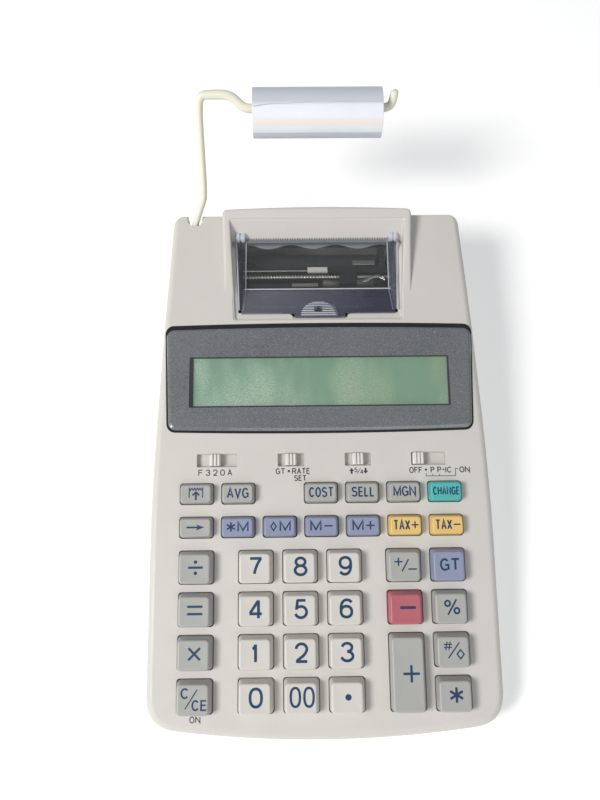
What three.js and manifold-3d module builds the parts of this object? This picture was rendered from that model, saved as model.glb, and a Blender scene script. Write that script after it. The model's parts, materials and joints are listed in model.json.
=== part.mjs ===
// A compact printing desk calculator: a wedge-shaped two-part case with thirty-six keys, four slide
// switches, a display under a smoked lens, a small printer under a clear tear-off cover, and a
// folding arm that carries a paper roll behind the case.
//
// Millimetres, +Z up. The body is laid out with y = 0 at its front edge and z = 0 on the desk, and
// the finished group is moved so that the origin is under the middle of the whole object.
import * as THREE from "three";
import { mergeVertices } from "three/addons/utils/BufferGeometryUtils.js";
import Module from "manifold-3d";

// ---- Driving dimensions ------------------------------------------------------------------------
const GAP = 0.3; // between pieces that would touch
const PAST = 5; // how far a cutter reaches past what it cuts
const WALL = 2.2; // case wall
const CASE = {
  length: 233,
  halfWidth: 75, // from the front to taperStart
  taperStart: 105,
  rearHalfWidth: 68,
  frontBow: 4, // how far the front edge bulges
  frontCorner: 12,
  rearCorner: 4,
  parting: 10, // height of the joint between the two shells
  floor: 1.5, // underside of the lower shell, above the feet
  topEdge: 2.4, // chamfer along the front and rear of the top
};
const DECK = { slope: THREE.MathUtils.degToRad(8), frontHeight: 15.5, end: 177 }; // keyboard plane
const SHOULDER = { front: 185, rise: 0.7, rearHeight: 44.5 }; // the flat top behind the keyboard plane
const HOOD = {
  front: 179,
  halfWidthFront: 43.3,
  halfWidthRear: 44.4,
  frontHeight: 40.4,
  fold: { y: 191, height: 41.4 }, // in front of this line it is level with the shoulders
  rearHeight: 51.5,
  rearBow: 1.5,
};
const WELL = { front: 180, rear: 226, halfWidthFront: 38.2, halfWidthRear: 40.8, bottom: 33, wall: 1.8 };
// Two strips under the cover's front lip, with a gap for a finger between them.
const LEDGES = { spans: [[-36, -11.5], [13, 36.8]], rear: 183.6, bottom: 36.5, top: 38.2 };

const ROWS = [17.5, 35, 52.5, 70, 87.1, 101.6]; // distances up the deck, front row first
const BIG_KEY = { hole: [16, 14.7], top: [13.6, 12.5], rise: 5.2 };
const SMALL_KEY = { hole: [15, 9.6], top: [13, 7.4], rise: 4.2 };
const KEY_SIDE_GAP = 0.3; // between a keycap and its hole
const KEY_FLANGE = { reach: 0.8, top: -WALL - GAP, bottom: -WALL - GAP - 1.2 };
const KEY_SHELL = { side: 1.3, roof: 1.5, post: 1.6 }; // cap walls, and half the width of its contact post

const SWITCH = { v: 116.3, depth: 5.6, pocket: 1.2, knob: 5, knobRise: 1.6, stem: 1.8, slotWidth: 2.4 };
const LENS = {
  halfFront: 68.8,
  halfRear: 69.7,
  front: 129.4,
  rear: 178,
  bow: 0.9,
  corner: 3.2,
  rise: 1.9,
  pocket: 1,
  bevel: 1.3,
};
const WINDOW = { halfWidth: 58.6, front: 139.8, rear: 163.1 };
const LCD = { margin: 2.6, thick: 2.4, top: -WALL - GAP };
const MAT = { halfWidth: 63, front: 9, rear: 110, top: -7, thick: 1 };
const BOARD = { halfWidth: 64, front: 11, rear: 125, top: -8.3, thick: 1.6 };

const BAY = { halfWidth: 31, front: 106, rear: 160, top: 18.5, wall: 1.2 };
const COVER_PLATE = 2; // battery cover thickness
const COVER_SLIDE = 8; // how far the battery cover slides before it lifts off
const FOOT = { radius: 6, x: 60, front: 16, rear: 214 };
const POSTS = [[69.2, 27], [61, 190]]; // screw posts, mirrored left and right
const POST = { radius: 3.2, hole: 1.3, head: 2.9, headDepth: 3.2, screwLength: 5 };

const ARM = {
  pivotY: 222,
  pivotZ: 34,
  lean: Math.atan2(48.1, 41.1), // angle of the raised arm above the horizontal
  thick: 4,
  chamfer: 0.8,
  pin: { radius: 1.8, left: -57, right: -46.5 },
};
const ARM_BEARINGS = [-54, -49.2]; // x of the two ribs that hold the arm's pin
const ARM_RIB = { halfWidth: 1, reach: 4, bore: 2.4 };
const NOTCH = { x: -57.85, width: 6.7, front: 228.7, bottom: 30.5, roundBottom: 35 };
const ROLL = { radius: 11, bore: 6, halfLength: 28.8, hang: 2.7 };

const PRINTER = {
  halfWidth: 37.5,
  plate: 2,
  front: 184,
  rear: 224,
  floor: 4.2,
  floorThick: 1.5,
  top: 33.5,
  apronTop: 21,
  motorWall: { left: 0.6, right: 2.4, top: 17.5 },
  seat: { x: 30 },
};
const SHAFT = { y: 207.2, z: 29.5, radius: 1 };
const RAIL = { y: 210.4, z: 30.2, radius: 0.6 }; // steadies the carriage
const SPRING = { outer: 1.9, inner: 1.3 };
const PLATEN = { y: 217, z: 24, radius: 5, halfLength: 30.5, axle: 1.5 };
const GEAR = { module: 0.75, wheelTeeth: 20, pinionTeeth: 10, width: 2.6, x: 32, addendum: 0.5, dedendum: 0.9 };
const BEARING = 0.35; // radial clearance round a turning or sliding shaft
const MESH_ANGLE = THREE.MathUtils.degToRad(-110); // from the feed roller towards the motor, in the side view
const CARRIAGE = { left: 11, right: 19.5, blockLeft: -4.4, blockRight: 5.3 };
const TYPE_WHEEL = { y: 206.5, z: 23.6, radius: 4, axle: 0.9 };
const INK = { y: 191.5, z: 26, radius: 5.6, axle: 1, left: 20, right: 33 };
const COVER_HINGE = { y: 221, z: 43.4, radius: 1.8 };
const JACK = { x: 54, z: 16, width: 9, height: 8.6, length: 11, socket: 3.2, depth: 8.5, wallHole: 4.2 };
const INLET = { halfWidth: 31.5, bottom: 25, top: 31.2 };

// ---- Colours -----------------------------------------------------------------------------------
const finish = (color, roughness, metalness = 0) =>
  new THREE.MeshStandardMaterial({ color, roughness, metalness });
const FINISH = {
  shell: finish(0xd9d7d0, 0.5),
  base: finish(0xcfcdc6, 0.6),
  white_key: finish(0xe2e0da, 0.45),
  grey_key: finish(0xc9cbc8, 0.45),
  blue_key: finish(0xa7acc9, 0.45),
  teal_key: finish(0x49bfb0, 0.4),
  yellow_key: finish(0xf5d37c, 0.4),
  red_key: finish(0xd9777d, 0.4),
  lens: finish(0x3d4450, 0.15),
  lcd: finish(0x89a08c, 0.3),
  clear: finish(0xc8ccd4, 0.1),
  dark: finish(0x24272b, 0.5),
  steel: finish(0xb9bcc0, 0.3, 0.9),
  rubber: finish(0x2b2b2c, 0.8),
  board: finish(0x2f6b45, 0.5),
  ink: finish(0x2c2440, 0.7),
  arm: finish(0xe4e1cd, 0.4),
  paper: finish(0xf2f3f6, 0.8),
};

// ---- Solids ------------------------------------------------------------------------------------
const wasm = await Module();
wasm.setup();

// A closed three.js geometry, moved by a matrix, as a solid that can be joined and cut.
function solid(geometry, matrix = new THREE.Matrix4()) {
  const bare = (geometry.index ? geometry.toNonIndexed() : geometry).clone();
  bare.deleteAttribute("normal");
  bare.deleteAttribute("uv");
  const merged = mergeVertices(bare.applyMatrix4(matrix), 1e-4);
  return new wasm.Manifold(
    new wasm.Mesh({
      numProp: 3,
      vertProperties: merged.attributes.position.array,
      triVerts: new Uint32Array(merged.index.array),
    }),
  );
}

// A solid back as a three.js geometry.
function geometryOf(made) {
  const { vertProperties, triVerts } = made.getMesh();
  return new THREE.BufferGeometry()
    .setAttribute("position", new THREE.BufferAttribute(vertProperties, 3))
    .setIndex(new THREE.BufferAttribute(triVerts, 1));
}

const unite = (solids) => solids.reduce((a, b) => a.add(b));
const cut = (body, cutters) => cutters.reduce((a, b) => a.subtract(b), body);
const at = (x, y, z) => new THREE.Matrix4().makeTranslation(x, y, z);
const AXIS_X = new THREE.Matrix4().makeBasis(
  new THREE.Vector3(0, 1, 0),
  new THREE.Vector3(0, 0, 1),
  new THREE.Vector3(1, 0, 0),
);

// A box between two corners.
function box(low, high) {
  const size = high.map((value, i) => value - low[i]);
  const middle = high.map((value, i) => (value + low[i]) / 2);
  return solid(new THREE.BoxGeometry(...size), at(...middle));
}

// A flat outline raised from one height to another.
function prism(shape, bottom, top, curveSegments = 4) {
  const options = { depth: top - bottom, bevelEnabled: false, curveSegments };
  return solid(new THREE.ExtrudeGeometry(shape, options), at(0, 0, bottom));
}

// An outline in the side view, y across and z up, carried along X.
function sideProfile(points, left, right) {
  const shape = new THREE.Shape(points.map(([y, z]) => new THREE.Vector2(y, z)));
  const made = new THREE.ExtrudeGeometry(shape, { depth: right - left, bevelEnabled: false });
  return solid(made, at(left, 0, 0).multiply(AXIS_X));
}

// A round bar along X.
function barX(radius, left, right, y, z, sides = 16) {
  const made = new THREE.CylinderGeometry(radius, radius, right - left, sides);
  return solid(made, at((left + right) / 2, y, z).multiply(new THREE.Matrix4().makeRotationZ(-Math.PI / 2)));
}

// A round post along Z.
function postZ(radius, bottom, top, x, y, sides = 16) {
  const made = new THREE.CylinderGeometry(radius, radius, top - bottom, sides);
  return solid(made, at(x, y, (bottom + top) / 2).multiply(new THREE.Matrix4().makeRotationX(Math.PI / 2)));
}

// A round bar along Y, centred on y.
function holeY(radius, y, length, x, z) {
  return solid(new THREE.CylinderGeometry(radius, radius, length, 16), at(x, y, z));
}

// A rectangle with cut corners, centred on (x, y), as a list of points.
function plate(width, depth, corner, x = 0, y = 0) {
  const [w, d] = [width / 2, depth / 2];
  const points = [
    [w - corner, -d], [w, -d + corner], [w, d - corner], [w - corner, d],
    [-w + corner, d], [-w, d - corner], [-w, -d + corner], [-w + corner, -d],
  ];
  return points.map(([px, py]) => [px + x, py + y]);
}

const shapeOf = (points) => new THREE.Shape(points.map(([x, y]) => new THREE.Vector2(x, y)));

// Rings of equally many points, one above the other, skinned and capped.
function loft(rings) {
  const count = rings[0].points.length;
  const positions = rings.flatMap(({ points, z }) => points.flatMap(([x, y]) => [x, y, z]));
  const index = [];
  for (let ring = 0; ring + 1 < rings.length; ring++) {
    for (let i = 0; i < count; i++) {
      const [a, b] = [ring * count + i, ring * count + ((i + 1) % count)];
      index.push(a, b, b + count, a, b + count, a + count);
    }
  }
  const last = (rings.length - 1) * count;
  for (let i = 1; i + 1 < count; i++) {
    index.push(0, i + 1, i, last, last + i, last + i + 1);
  }
  const made = new THREE.BufferGeometry();
  made.setAttribute("position", new THREE.BufferAttribute(new Float32Array(positions), 3));
  made.setIndex(index);
  return solid(made);
}

// ---- The group and its frames ------------------------------------------------------------------
const calculator = new THREE.Group();
const body = new THREE.Group(); // y = 0 at the front edge
const deck = new THREE.Group(); // x across, y up the slope, z out of the keyboard plane
deck.position.z = DECK.frontHeight;
deck.rotation.x = DECK.slope;
deck.updateMatrix();
body.add(deck);
calculator.add(body);

function add(parent, name, material, made) {
  const mesh = new THREE.Mesh(geometryOf(made), material);
  mesh.name = name;
  parent.add(mesh);
  return mesh;
}

const toBody = (deckSolid) => deckSolid.transform(deck.matrix.elements);
const deckHeight = (y) => DECK.frontHeight + y * Math.tan(DECK.slope);

// ---- Case --------------------------------------------------------------------------------------

// The plan of the case, moved inwards by inset.
function caseOutline(inset) {
  const half = CASE.halfWidth - inset;
  const rearHalf = CASE.rearHalfWidth - inset;
  const front = inset;
  const sideFront = CASE.frontBow + inset;
  const rear = CASE.length - inset;
  const corner = Math.max(CASE.frontCorner - inset, 1);
  const small = Math.max(CASE.rearCorner - inset, 1);
  const shape = new THREE.Shape();
  shape.moveTo(-half + corner, sideFront);
  shape.quadraticCurveTo(0, 2 * front - sideFront, half - corner, sideFront);
  shape.quadraticCurveTo(half, sideFront + 1, half, sideFront + corner);
  shape.lineTo(half, CASE.taperStart);
  shape.lineTo(rearHalf, rear - small);
  shape.lineTo(rearHalf - small, rear);
  shape.lineTo(-rearHalf + small, rear);
  shape.lineTo(-rearHalf, rear - small);
  shape.lineTo(-half, CASE.taperStart);
  shape.lineTo(-half, sideFront + corner);
  shape.quadraticCurveTo(-half, sideFront + 1, -half + corner, sideFront);
  return shape;
}

// The side view under the deck and the shoulders, lowered by drop.
function caseProfile(drop) {
  const lip = drop > 0 ? 0 : CASE.topEdge;
  return [
    [-PAST, 0],
    [CASE.length + PAST, 0],
    [CASE.length + PAST, SHOULDER.rearHeight - drop - lip],
    [CASE.length - lip, SHOULDER.rearHeight - drop],
    [SHOULDER.front, deckHeight(DECK.end) + SHOULDER.rise - drop],
    [DECK.end, deckHeight(DECK.end) - drop],
    [lip, deckHeight(lip) - drop],
    [-PAST, DECK.frontHeight - drop - lip],
  ];
}

function hoodSolid(inset) {
  const [front, rear] = [HOOD.halfWidthFront - inset, HOOD.halfWidthRear - inset];
  const back = CASE.length - inset;
  const plan = new THREE.Shape();
  plan.moveTo(-front, HOOD.front);
  plan.lineTo(front, HOOD.front);
  plan.lineTo(rear, back - HOOD.rearBow);
  plan.quadraticCurveTo(0, back + HOOD.rearBow, -rear, back - HOOD.rearBow);
  const profile = [
    [HOOD.front, CASE.parting],
    [CASE.length + PAST, CASE.parting],
    [CASE.length + PAST, HOOD.rearHeight - inset - 1.5],
    [CASE.length - 2, HOOD.rearHeight - inset],
    [HOOD.fold.y, HOOD.fold.height - inset],
    [HOOD.front, HOOD.frontHeight - inset],
  ];
  const across = HOOD.halfWidthRear + PAST;
  return prism(plan, CASE.parting, HOOD.rearHeight + PAST).intersect(sideProfile(profile, -across, across));
}

// The walls of the well that the printer cover sits in, or the hollow inside them.
function wellSolid(grow, bottom, top) {
  const [front, rear] = [WELL.halfWidthFront + grow, WELL.halfWidthRear + grow];
  const plan = shapeOf([
    [-front, WELL.front - grow],
    [front, WELL.front - grow],
    [rear, WELL.rear + grow],
    [-rear, WELL.rear + grow],
  ]);
  return prism(plan, bottom, top);
}

// Where each switch sits, how long its pocket is and where its knob stands in it.
const SWITCHES = [
  { name: "slide_decimal", x: -45.9, length: 17.6, knob: -46.8 },
  { name: "slide_total", x: -13.2, length: 11.6, knob: -13.3 },
  { name: "slide_rounding", x: 16.4, length: 11.4, knob: 16.4 },
  { name: "slide_power", x: 47.7, length: 15.2, knob: 43.1 },
];

const SMALL_COLUMNS = [-54, -36, -18, 0, 18, 36, 54];
const BIG_COLUMNS = [-54, -28.5, -9.5, 9.5, 35, 54];
const PLUS_ROWS = ROWS[1] - ROWS[0]; // the plus key is this much longer than the others

const ODD_COLOURS = { grand_total: "blue_key", minus: "red_key" }; // among the large keys

// Every key: its name, colour, size, place on the deck and extra length up the deck.
const KEYS = [
  ...["feed", "average", null, "cost", "sell", "margin", "change"].map((name, i) => ({
    name, row: 5, x: SMALL_COLUMNS[i], kind: SMALL_KEY, colour: name === "change" ? "teal_key" : "grey_key",
  })),
  ...[
    "backspace",
    "memory_total",
    "memory_subtotal",
    "memory_minus",
    "memory_plus",
    "tax_plus",
    "tax_minus",
  ].map((name, i) => ({
    name, row: 4, x: SMALL_COLUMNS[i], kind: SMALL_KEY,
    colour: i === 0 ? "grey_key" : i < 5 ? "blue_key" : "yellow_key",
  })),
  ...[
    ["divide", "7", "8", "9", "sign", "grand_total"],
    ["equals", "4", "5", "6", "minus", "percent"],
    ["multiply", "1", "2", "3", null, "non_add"],
    ["clear", "0", "00", "point", null, "total"],
  ].flatMap((names, line) =>
    names.map((name, i) => ({
      name, row: 3 - line, x: BIG_COLUMNS[i], kind: BIG_KEY,
      colour: ODD_COLOURS[name] ?? (i > 0 && i < 4 ? "white_key" : "grey_key"),
    })),
  ),
  { name: "plus", row: 0, x: BIG_COLUMNS[4], kind: BIG_KEY, colour: "grey_key", extra: PLUS_ROWS },
]
  .filter((key) => key.name)
  .map((key) => ({ extra: 0, ...key, v: ROWS[key.row] + (key.extra ?? 0) / 2 }));

function keyHole({ kind, x, v, extra }) {
  return toBody(prism(shapeOf(plate(kind.hole[0], kind.hole[1] + extra, 1.2, x, v)), -WALL - PAST, PAST));
}

// The lens outline on the deck, moved inwards by inset, with its bowed long edges.
function lensOutline(inset) {
  const [near, far] = [LENS.halfFront - inset, LENS.halfRear - inset];
  const [front, rear] = [LENS.front + inset, LENS.rear - inset];
  const r = LENS.corner;
  const shape = new THREE.Shape();
  shape.moveTo(-near + r, front);
  shape.quadraticCurveTo(0, front - 2 * LENS.bow, near - r, front);
  shape.quadraticCurveTo(near, front, near, front + r);
  shape.lineTo(far, rear - r);
  shape.quadraticCurveTo(far, rear, far - r, rear);
  shape.quadraticCurveTo(0, rear + 2 * LENS.bow, -far + r, rear);
  shape.quadraticCurveTo(-far, rear, -far, rear - r);
  shape.lineTo(-near, front + r);
  shape.quadraticCurveTo(-near, front, -near + r, front);
  return shape;
}

// One solid for each screw post, left and right.
const everyPost = (make) => POSTS.flatMap(([x, y]) => [make(-x, y), make(x, y)]);

function upperCase() {
  const [across, above] = [CASE.halfWidth + PAST, HOOD.rearHeight + PAST];
  const outer = prism(caseOutline(0), CASE.parting, above).intersect(
    sideProfile(caseProfile(0), -across, across),
  );
  const hollow = prism(caseOutline(WALL), CASE.parting - 1, above).intersect(
    sideProfile(caseProfile(WALL), -across, across),
  );
  const hoodFoot = box(
    [-HOOD.halfWidthFront + WALL, HOOD.front + WALL, CASE.parting - 1],
    [HOOD.halfWidthFront - WALL, CASE.length - WALL - HOOD.rearBow, CASE.parting + 1],
  );
  const shell = cut(outer.add(hoodSolid(0)), [hollow, hoodSolid(WALL).add(hoodFoot)]);

  const wellWalls = wellSolid(WELL.wall, WELL.bottom, above).intersect(outer.add(hoodSolid(0)));
  const ledges = LEDGES.spans.map(([left, right]) =>
    box([left, WELL.front - 1, LEDGES.bottom], [right, LEDGES.rear, LEDGES.top]),
  );
  const roof = (y) => deckHeight(Math.min(y, DECK.end));
  const posts = everyPost((x, y) => postZ(POST.radius, CASE.parting + GAP, roof(y) - 1, x, y));
  const postHoles = everyPost((x, y) =>
    postZ(POST.hole, CASE.parting - 1, roof(y) - POST.screwLength, x, y, 8),
  );

  const lensPocket = toBody(prism(lensOutline(-GAP), -LENS.pocket, PAST, 6));
  const windowPlan = plate(
    2 * WINDOW.halfWidth + 1,
    WINDOW.rear - WINDOW.front + 1,
    0.6,
    0,
    (WINDOW.rear + WINDOW.front) / 2,
  );
  const windowHole = toBody(prism(shapeOf(windowPlan), -WALL - PAST, PAST));
  const pockets = SWITCHES.flatMap(({ x, length }) => [
    toBody(prism(shapeOf(plate(length, SWITCH.depth, 0.5, x, SWITCH.v)), -SWITCH.pocket, PAST)),
    toBody(prism(shapeOf(plate(length - 2, SWITCH.slotWidth, 0.3, x, SWITCH.v)), -WALL - PAST, PAST)),
  ]);
  const notch = box(
    [NOTCH.x - NOTCH.width / 2, NOTCH.front, NOTCH.bottom],
    [NOTCH.x + NOTCH.width / 2, CASE.length + PAST, above],
  );
  const notchEnd = postZ(NOTCH.width / 2, NOTCH.roundBottom, above, NOTCH.x, NOTCH.front);
  const inlet = box(
    [-INLET.halfWidth, WELL.rear - PAST, INLET.bottom],
    [INLET.halfWidth, CASE.length + PAST, INLET.top],
  );
  const jackHole = holeY(JACK.wallHole, CASE.length, 2 * PAST, JACK.x, JACK.z);
  const made = unite([shell, wellWalls, ...posts]);
  const open = cut(made, [
    wellSolid(0, WELL.bottom - 2 * PAST, above),
    ...postHoles,
    lensPocket,
    windowHole,
    ...KEYS.map(keyHole),
    ...pockets,
    notch,
    notchEnd,
    inlet,
    jackHole,
  ]);
  return unite([open, ...ledges]);
}

function lowerCase() {
  const tray = prism(caseOutline(0), CASE.floor, CASE.parting - GAP);
  const hollow = prism(caseOutline(WALL), CASE.floor + WALL, CASE.parting + PAST);
  const feet = [-1, 1].flatMap((side) =>
    [FOOT.front, FOOT.rear].map((y) => postZ(FOOT.radius, 0, CASE.floor + 0.5, side * FOOT.x, y, 20)),
  );
  const bayWalls = box(
    [-BAY.halfWidth - BAY.wall, BAY.front - BAY.wall, CASE.floor],
    [BAY.halfWidth + BAY.wall, BAY.rear + BAY.wall, BAY.top + BAY.wall],
  );
  const bay = box([-BAY.halfWidth, BAY.front, CASE.floor - PAST], [BAY.halfWidth, BAY.rear, BAY.top]);
  const trackTop = CASE.floor + COVER_PLATE + GAP;
  const trackRoof = box(
    [-BAY.halfWidth - BAY.wall, BAY.front - COVER_SLIDE - BAY.wall, CASE.floor],
    [BAY.halfWidth + BAY.wall, BAY.front, trackTop + BAY.wall],
  );
  const track = box(
    [-BAY.halfWidth, BAY.front - COVER_SLIDE, CASE.floor - PAST],
    [BAY.halfWidth, BAY.rear, trackTop],
  );
  const posts = everyPost((x, y) => postZ(POST.radius, CASE.floor, CASE.parting, x, y));
  const screwHoles = everyPost((x, y) =>
    unite([
      postZ(POST.hole, -1, CASE.parting + PAST, x, y, 8),
      postZ(POST.head, -1, CASE.floor + POST.headDepth, x, y),
    ]),
  );
  const { halfWidth, reach, bore } = ARM_RIB;
  const ribs = ARM_BEARINGS.map((x) =>
    box(
      [x - halfWidth, ARM.pivotY - reach, CASE.floor + 0.5],
      [x + halfWidth, ARM.pivotY + reach, ARM.pivotZ + reach],
    ),
  );
  const ribBore = barX(bore, ARM_BEARINGS[0] - 2, ARM_BEARINGS[1] + 2, ARM.pivotY, ARM.pivotZ);
  const printerSeats = [-1, 1].map((side) =>
    box(
      [side * PRINTER.seat.x - 4, PRINTER.front + 4, CASE.floor + 1],
      [side * PRINTER.seat.x + 4, PRINTER.rear - 4, PRINTER.floor - GAP],
    ),
  );
  const made = unite([tray.subtract(hollow), ...feet, bayWalls, trackRoof, ...posts, ...ribs, ...printerSeats]);
  return cut(made, [bay, track, ribBore, ...screwHoles]);
}

function batteryCover() {
  const panel = box(
    [-BAY.halfWidth + GAP, BAY.front + GAP, CASE.floor],
    [BAY.halfWidth - GAP, BAY.rear - GAP, CASE.floor + COVER_PLATE],
  );
  const grip = box([-9, BAY.front + 3, CASE.floor - 1], [9, BAY.front + 9, CASE.floor + 0.8]);
  return panel.subtract(grip);
}

// ---- Keys and switches -------------------------------------------------------------------------

// A keycap: a flange that stops under the deck, a tapered hollow cap and a contact post.
function keycap({ kind, extra }) {
  const [width, depth] = [kind.hole[0] - 2 * KEY_SIDE_GAP, kind.hole[1] - 2 * KEY_SIDE_GAP + extra];
  const flange = plate(width + 2 * KEY_FLANGE.reach, depth + 2 * KEY_FLANGE.reach, 0.6);
  const skirt = plate(width, depth, 1.3);
  const crown = plate(kind.top[0] + 0.5, kind.top[1] + 0.5 + extra, 1.3);
  const face = plate(kind.top[0], kind.top[1] + extra, 1.3);
  const { side, roof, post } = KEY_SHELL;
  const outer = loft([
    { points: flange, z: KEY_FLANGE.bottom },
    { points: flange, z: KEY_FLANGE.top },
    { points: skirt, z: KEY_FLANGE.top + 0.01 },
    { points: skirt, z: 0.6 },
    { points: crown, z: kind.rise - 0.4 },
    { points: face, z: kind.rise },
  ]);
  const hollow = loft([
    { points: plate(width - 2 * side, depth - 2 * side, 0.8), z: KEY_FLANGE.bottom - 1 },
    { points: plate(kind.top[0] - 2 * side, kind.top[1] - 2 * side + extra, 0.8), z: kind.rise - roof },
  ]);
  const contact = box([-post, -post, KEY_FLANGE.bottom], [post, post, kind.rise - roof / 2]);
  return outer.subtract(hollow).add(contact);
}

// A slide switch: a knob with a raised rib, on a stem through the slot.
function switchKnob() {
  const half = SWITCH.knob / 2;
  const floor = -SWITCH.pocket + GAP;
  const base = box([-half, -half, floor], [half, half, 0.4]);
  const rib = box([-0.9, -half, 0.3], [0.9, half, SWITCH.knobRise]);
  const stem = box([-1.4, -SWITCH.stem / 2, BOARD.top + GAP], [1.4, SWITCH.stem / 2, floor + 0.1]);
  return unite([base, rib, stem]);
}

// ---- Display -----------------------------------------------------------------------------------
function displayLens() {
  const low = prism(lensOutline(0), -LENS.pocket + GAP, LENS.rise - LENS.bevel, 6);
  const mid = prism(lensOutline(0.45), -LENS.pocket + GAP, LENS.rise - 0.4, 6);
  const high = prism(lensOutline(LENS.bevel), -LENS.pocket + GAP, LENS.rise, 6);
  return unite([low, mid, high]);
}

function deckPlate(halfWidth, front, rear, top, thick) {
  return box([-halfWidth, front, top - thick], [halfWidth, rear, top]);
}

// ---- Printer -----------------------------------------------------------------------------------

// A spur gear round X with slim straight-sided teeth, so that it runs with backlash.
function gear(teeth, x, y, z, turn) {
  const pitch = (GEAR.module * teeth) / 2;
  const points = [];
  for (let i = 0; i < teeth; i++) {
    const middle = turn + (2 * Math.PI * i) / teeth;
    const step = (2 * Math.PI) / teeth;
    for (const [share, radius] of [
      [-0.2, pitch - GEAR.dedendum], [-0.1, pitch + GEAR.addendum],
      [0.1, pitch + GEAR.addendum], [0.2, pitch - GEAR.dedendum],
    ]) {
      const angle = middle + share * step;
      points.push([y + radius * Math.cos(angle), z + radius * Math.sin(angle)]);
    }
  }
  return sideProfile(points, x - GEAR.width / 2, x + GEAR.width / 2);
}

const gearDistance = (GEAR.module * (GEAR.wheelTeeth + GEAR.pinionTeeth)) / 2 + 0.1;
const MOTOR = {
  y: PLATEN.y + gearDistance * Math.cos(MESH_ANGLE),
  z: PLATEN.z + gearDistance * Math.sin(MESH_ANGLE),
  radius: 5.8,
  shaft: 1,
  left: 3,
  right: 29.5,
};

function printerFrame() {
  const { halfWidth, plate: thick, front, rear, floor, floorThick, top, apronTop, motorWall } = PRINTER;
  const drill = (radius, y, z, left = -halfWidth - 1) => barX(radius + BEARING, left, halfWidth + 1, y, z);
  const base = box([-halfWidth, front, floor], [halfWidth, rear, floor + floorThick]);
  const sides = [-halfWidth, halfWidth - thick].map((x) =>
    box([x, front, floor], [x + thick, rear, top]),
  );
  const apron = box([-halfWidth, front, floor], [halfWidth, front + thick, apronTop]);
  const rail = barX(RAIL.radius, -halfWidth + 1, halfWidth - 1, RAIL.y, RAIL.z, 8);
  const holes = [
    drill(SHAFT.radius, SHAFT.y, SHAFT.z),
    drill(PLATEN.axle, PLATEN.y, PLATEN.z),
    drill(INK.axle, INK.y, INK.z),
    drill(MOTOR.shaft, MOTOR.y, MOTOR.z, 0),
  ];
  const wall = box([motorWall.left, front + 1, floor], [motorWall.right, rear - 6, motorWall.top]);
  const inkCheek = box([INK.left - 2.4, front + 1, floor], [INK.left - 0.4, INK.y + 3, INK.z + 3]);
  return unite([cut(unite([base, ...sides, apron, inkCheek]), holes), rail, wall]);
}

function feedRoller() {
  const drum = barX(PLATEN.radius, -PLATEN.halfLength, PLATEN.halfLength - 1, PLATEN.y, PLATEN.z, 24);
  const axle = barX(PLATEN.axle, -PRINTER.halfWidth + GAP, PRINTER.halfWidth - GAP, PLATEN.y, PLATEN.z);
  const wheel = gear(GEAR.wheelTeeth, GEAR.x, PLATEN.y, PLATEN.z, MESH_ANGLE);
  return unite([drum, axle, wheel]);
}

function motorPinion() {
  const half = Math.PI / GEAR.pinionTeeth;
  const wheel = gear(GEAR.pinionTeeth, GEAR.x, MOTOR.y, MOTOR.z, MESH_ANGLE + Math.PI + half);
  const axle = barX(MOTOR.shaft, MOTOR.right + GAP, PRINTER.halfWidth - GAP, MOTOR.y, MOTOR.z);
  return unite([wheel, axle]);
}

// The carriage: a slider on the shaft, cheeks for the type wheel, and an arm to a small block.
function printCarriage() {
  const { left, right, blockLeft, blockRight } = CARRIAGE;
  const slider = box([left, 203, 28], [right, 209, 32]);
  const cheeks = [left, right - 1.2].map((x) => box([x, 203.5, 21], [x + 1.2, 209, 28.5]));
  const arm = box([blockRight - 1, 208.6, 31.2], [left + 1, 211, 32.2]);
  const block = box([blockLeft, 208.4, 31.2], [blockRight, 211.4, 33]);
  const holes = [
    barX(SHAFT.radius + BEARING, left - 2, right + 2, SHAFT.y, SHAFT.z),
    barX(TYPE_WHEEL.axle + BEARING, left - 2, right + 2, TYPE_WHEEL.y, TYPE_WHEEL.z),
  ];
  return cut(unite([slider, ...cheeks, arm, block]), holes);
}

function typeWheel() {
  const ridges = [];
  const characters = 12;
  for (let i = 0; i < 2 * characters; i++) {
    const angle = (Math.PI * i) / characters;
    const radius = i % 2 ? TYPE_WHEEL.radius - 0.5 : TYPE_WHEEL.radius;
    for (const share of [-0.3, 0.3]) {
      const turned = angle + (share * Math.PI) / characters;
      ridges.push([TYPE_WHEEL.y + radius * Math.cos(turned), TYPE_WHEEL.z + radius * Math.sin(turned)]);
    }
  }
  const wheel = sideProfile(ridges, CARRIAGE.left + 1.6, CARRIAGE.right - 1.6);
  const axle = barX(TYPE_WHEEL.axle, CARRIAGE.left + 0.2, CARRIAGE.right - 0.2, TYPE_WHEEL.y, TYPE_WHEEL.z, 12);
  return unite([wheel, axle]);
}

function carriageSpring() {
  const [left, right] = [-PRINTER.halfWidth + PRINTER.plate + GAP, CARRIAGE.left - GAP];
  const tube = barX(SPRING.outer, left, right, SHAFT.y, SHAFT.z, 12);
  return tube.subtract(barX(SPRING.inner, left - 1, right + 1, SHAFT.y, SHAFT.z, 12));
}

function inkRoller() {
  const roller = barX(INK.radius, INK.left, INK.right, INK.y, INK.z, 20);
  const axle = barX(INK.axle, INK.left - 2, PRINTER.halfWidth - GAP, INK.y, INK.z, 12);
  return unite([roller, axle]);
}

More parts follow.
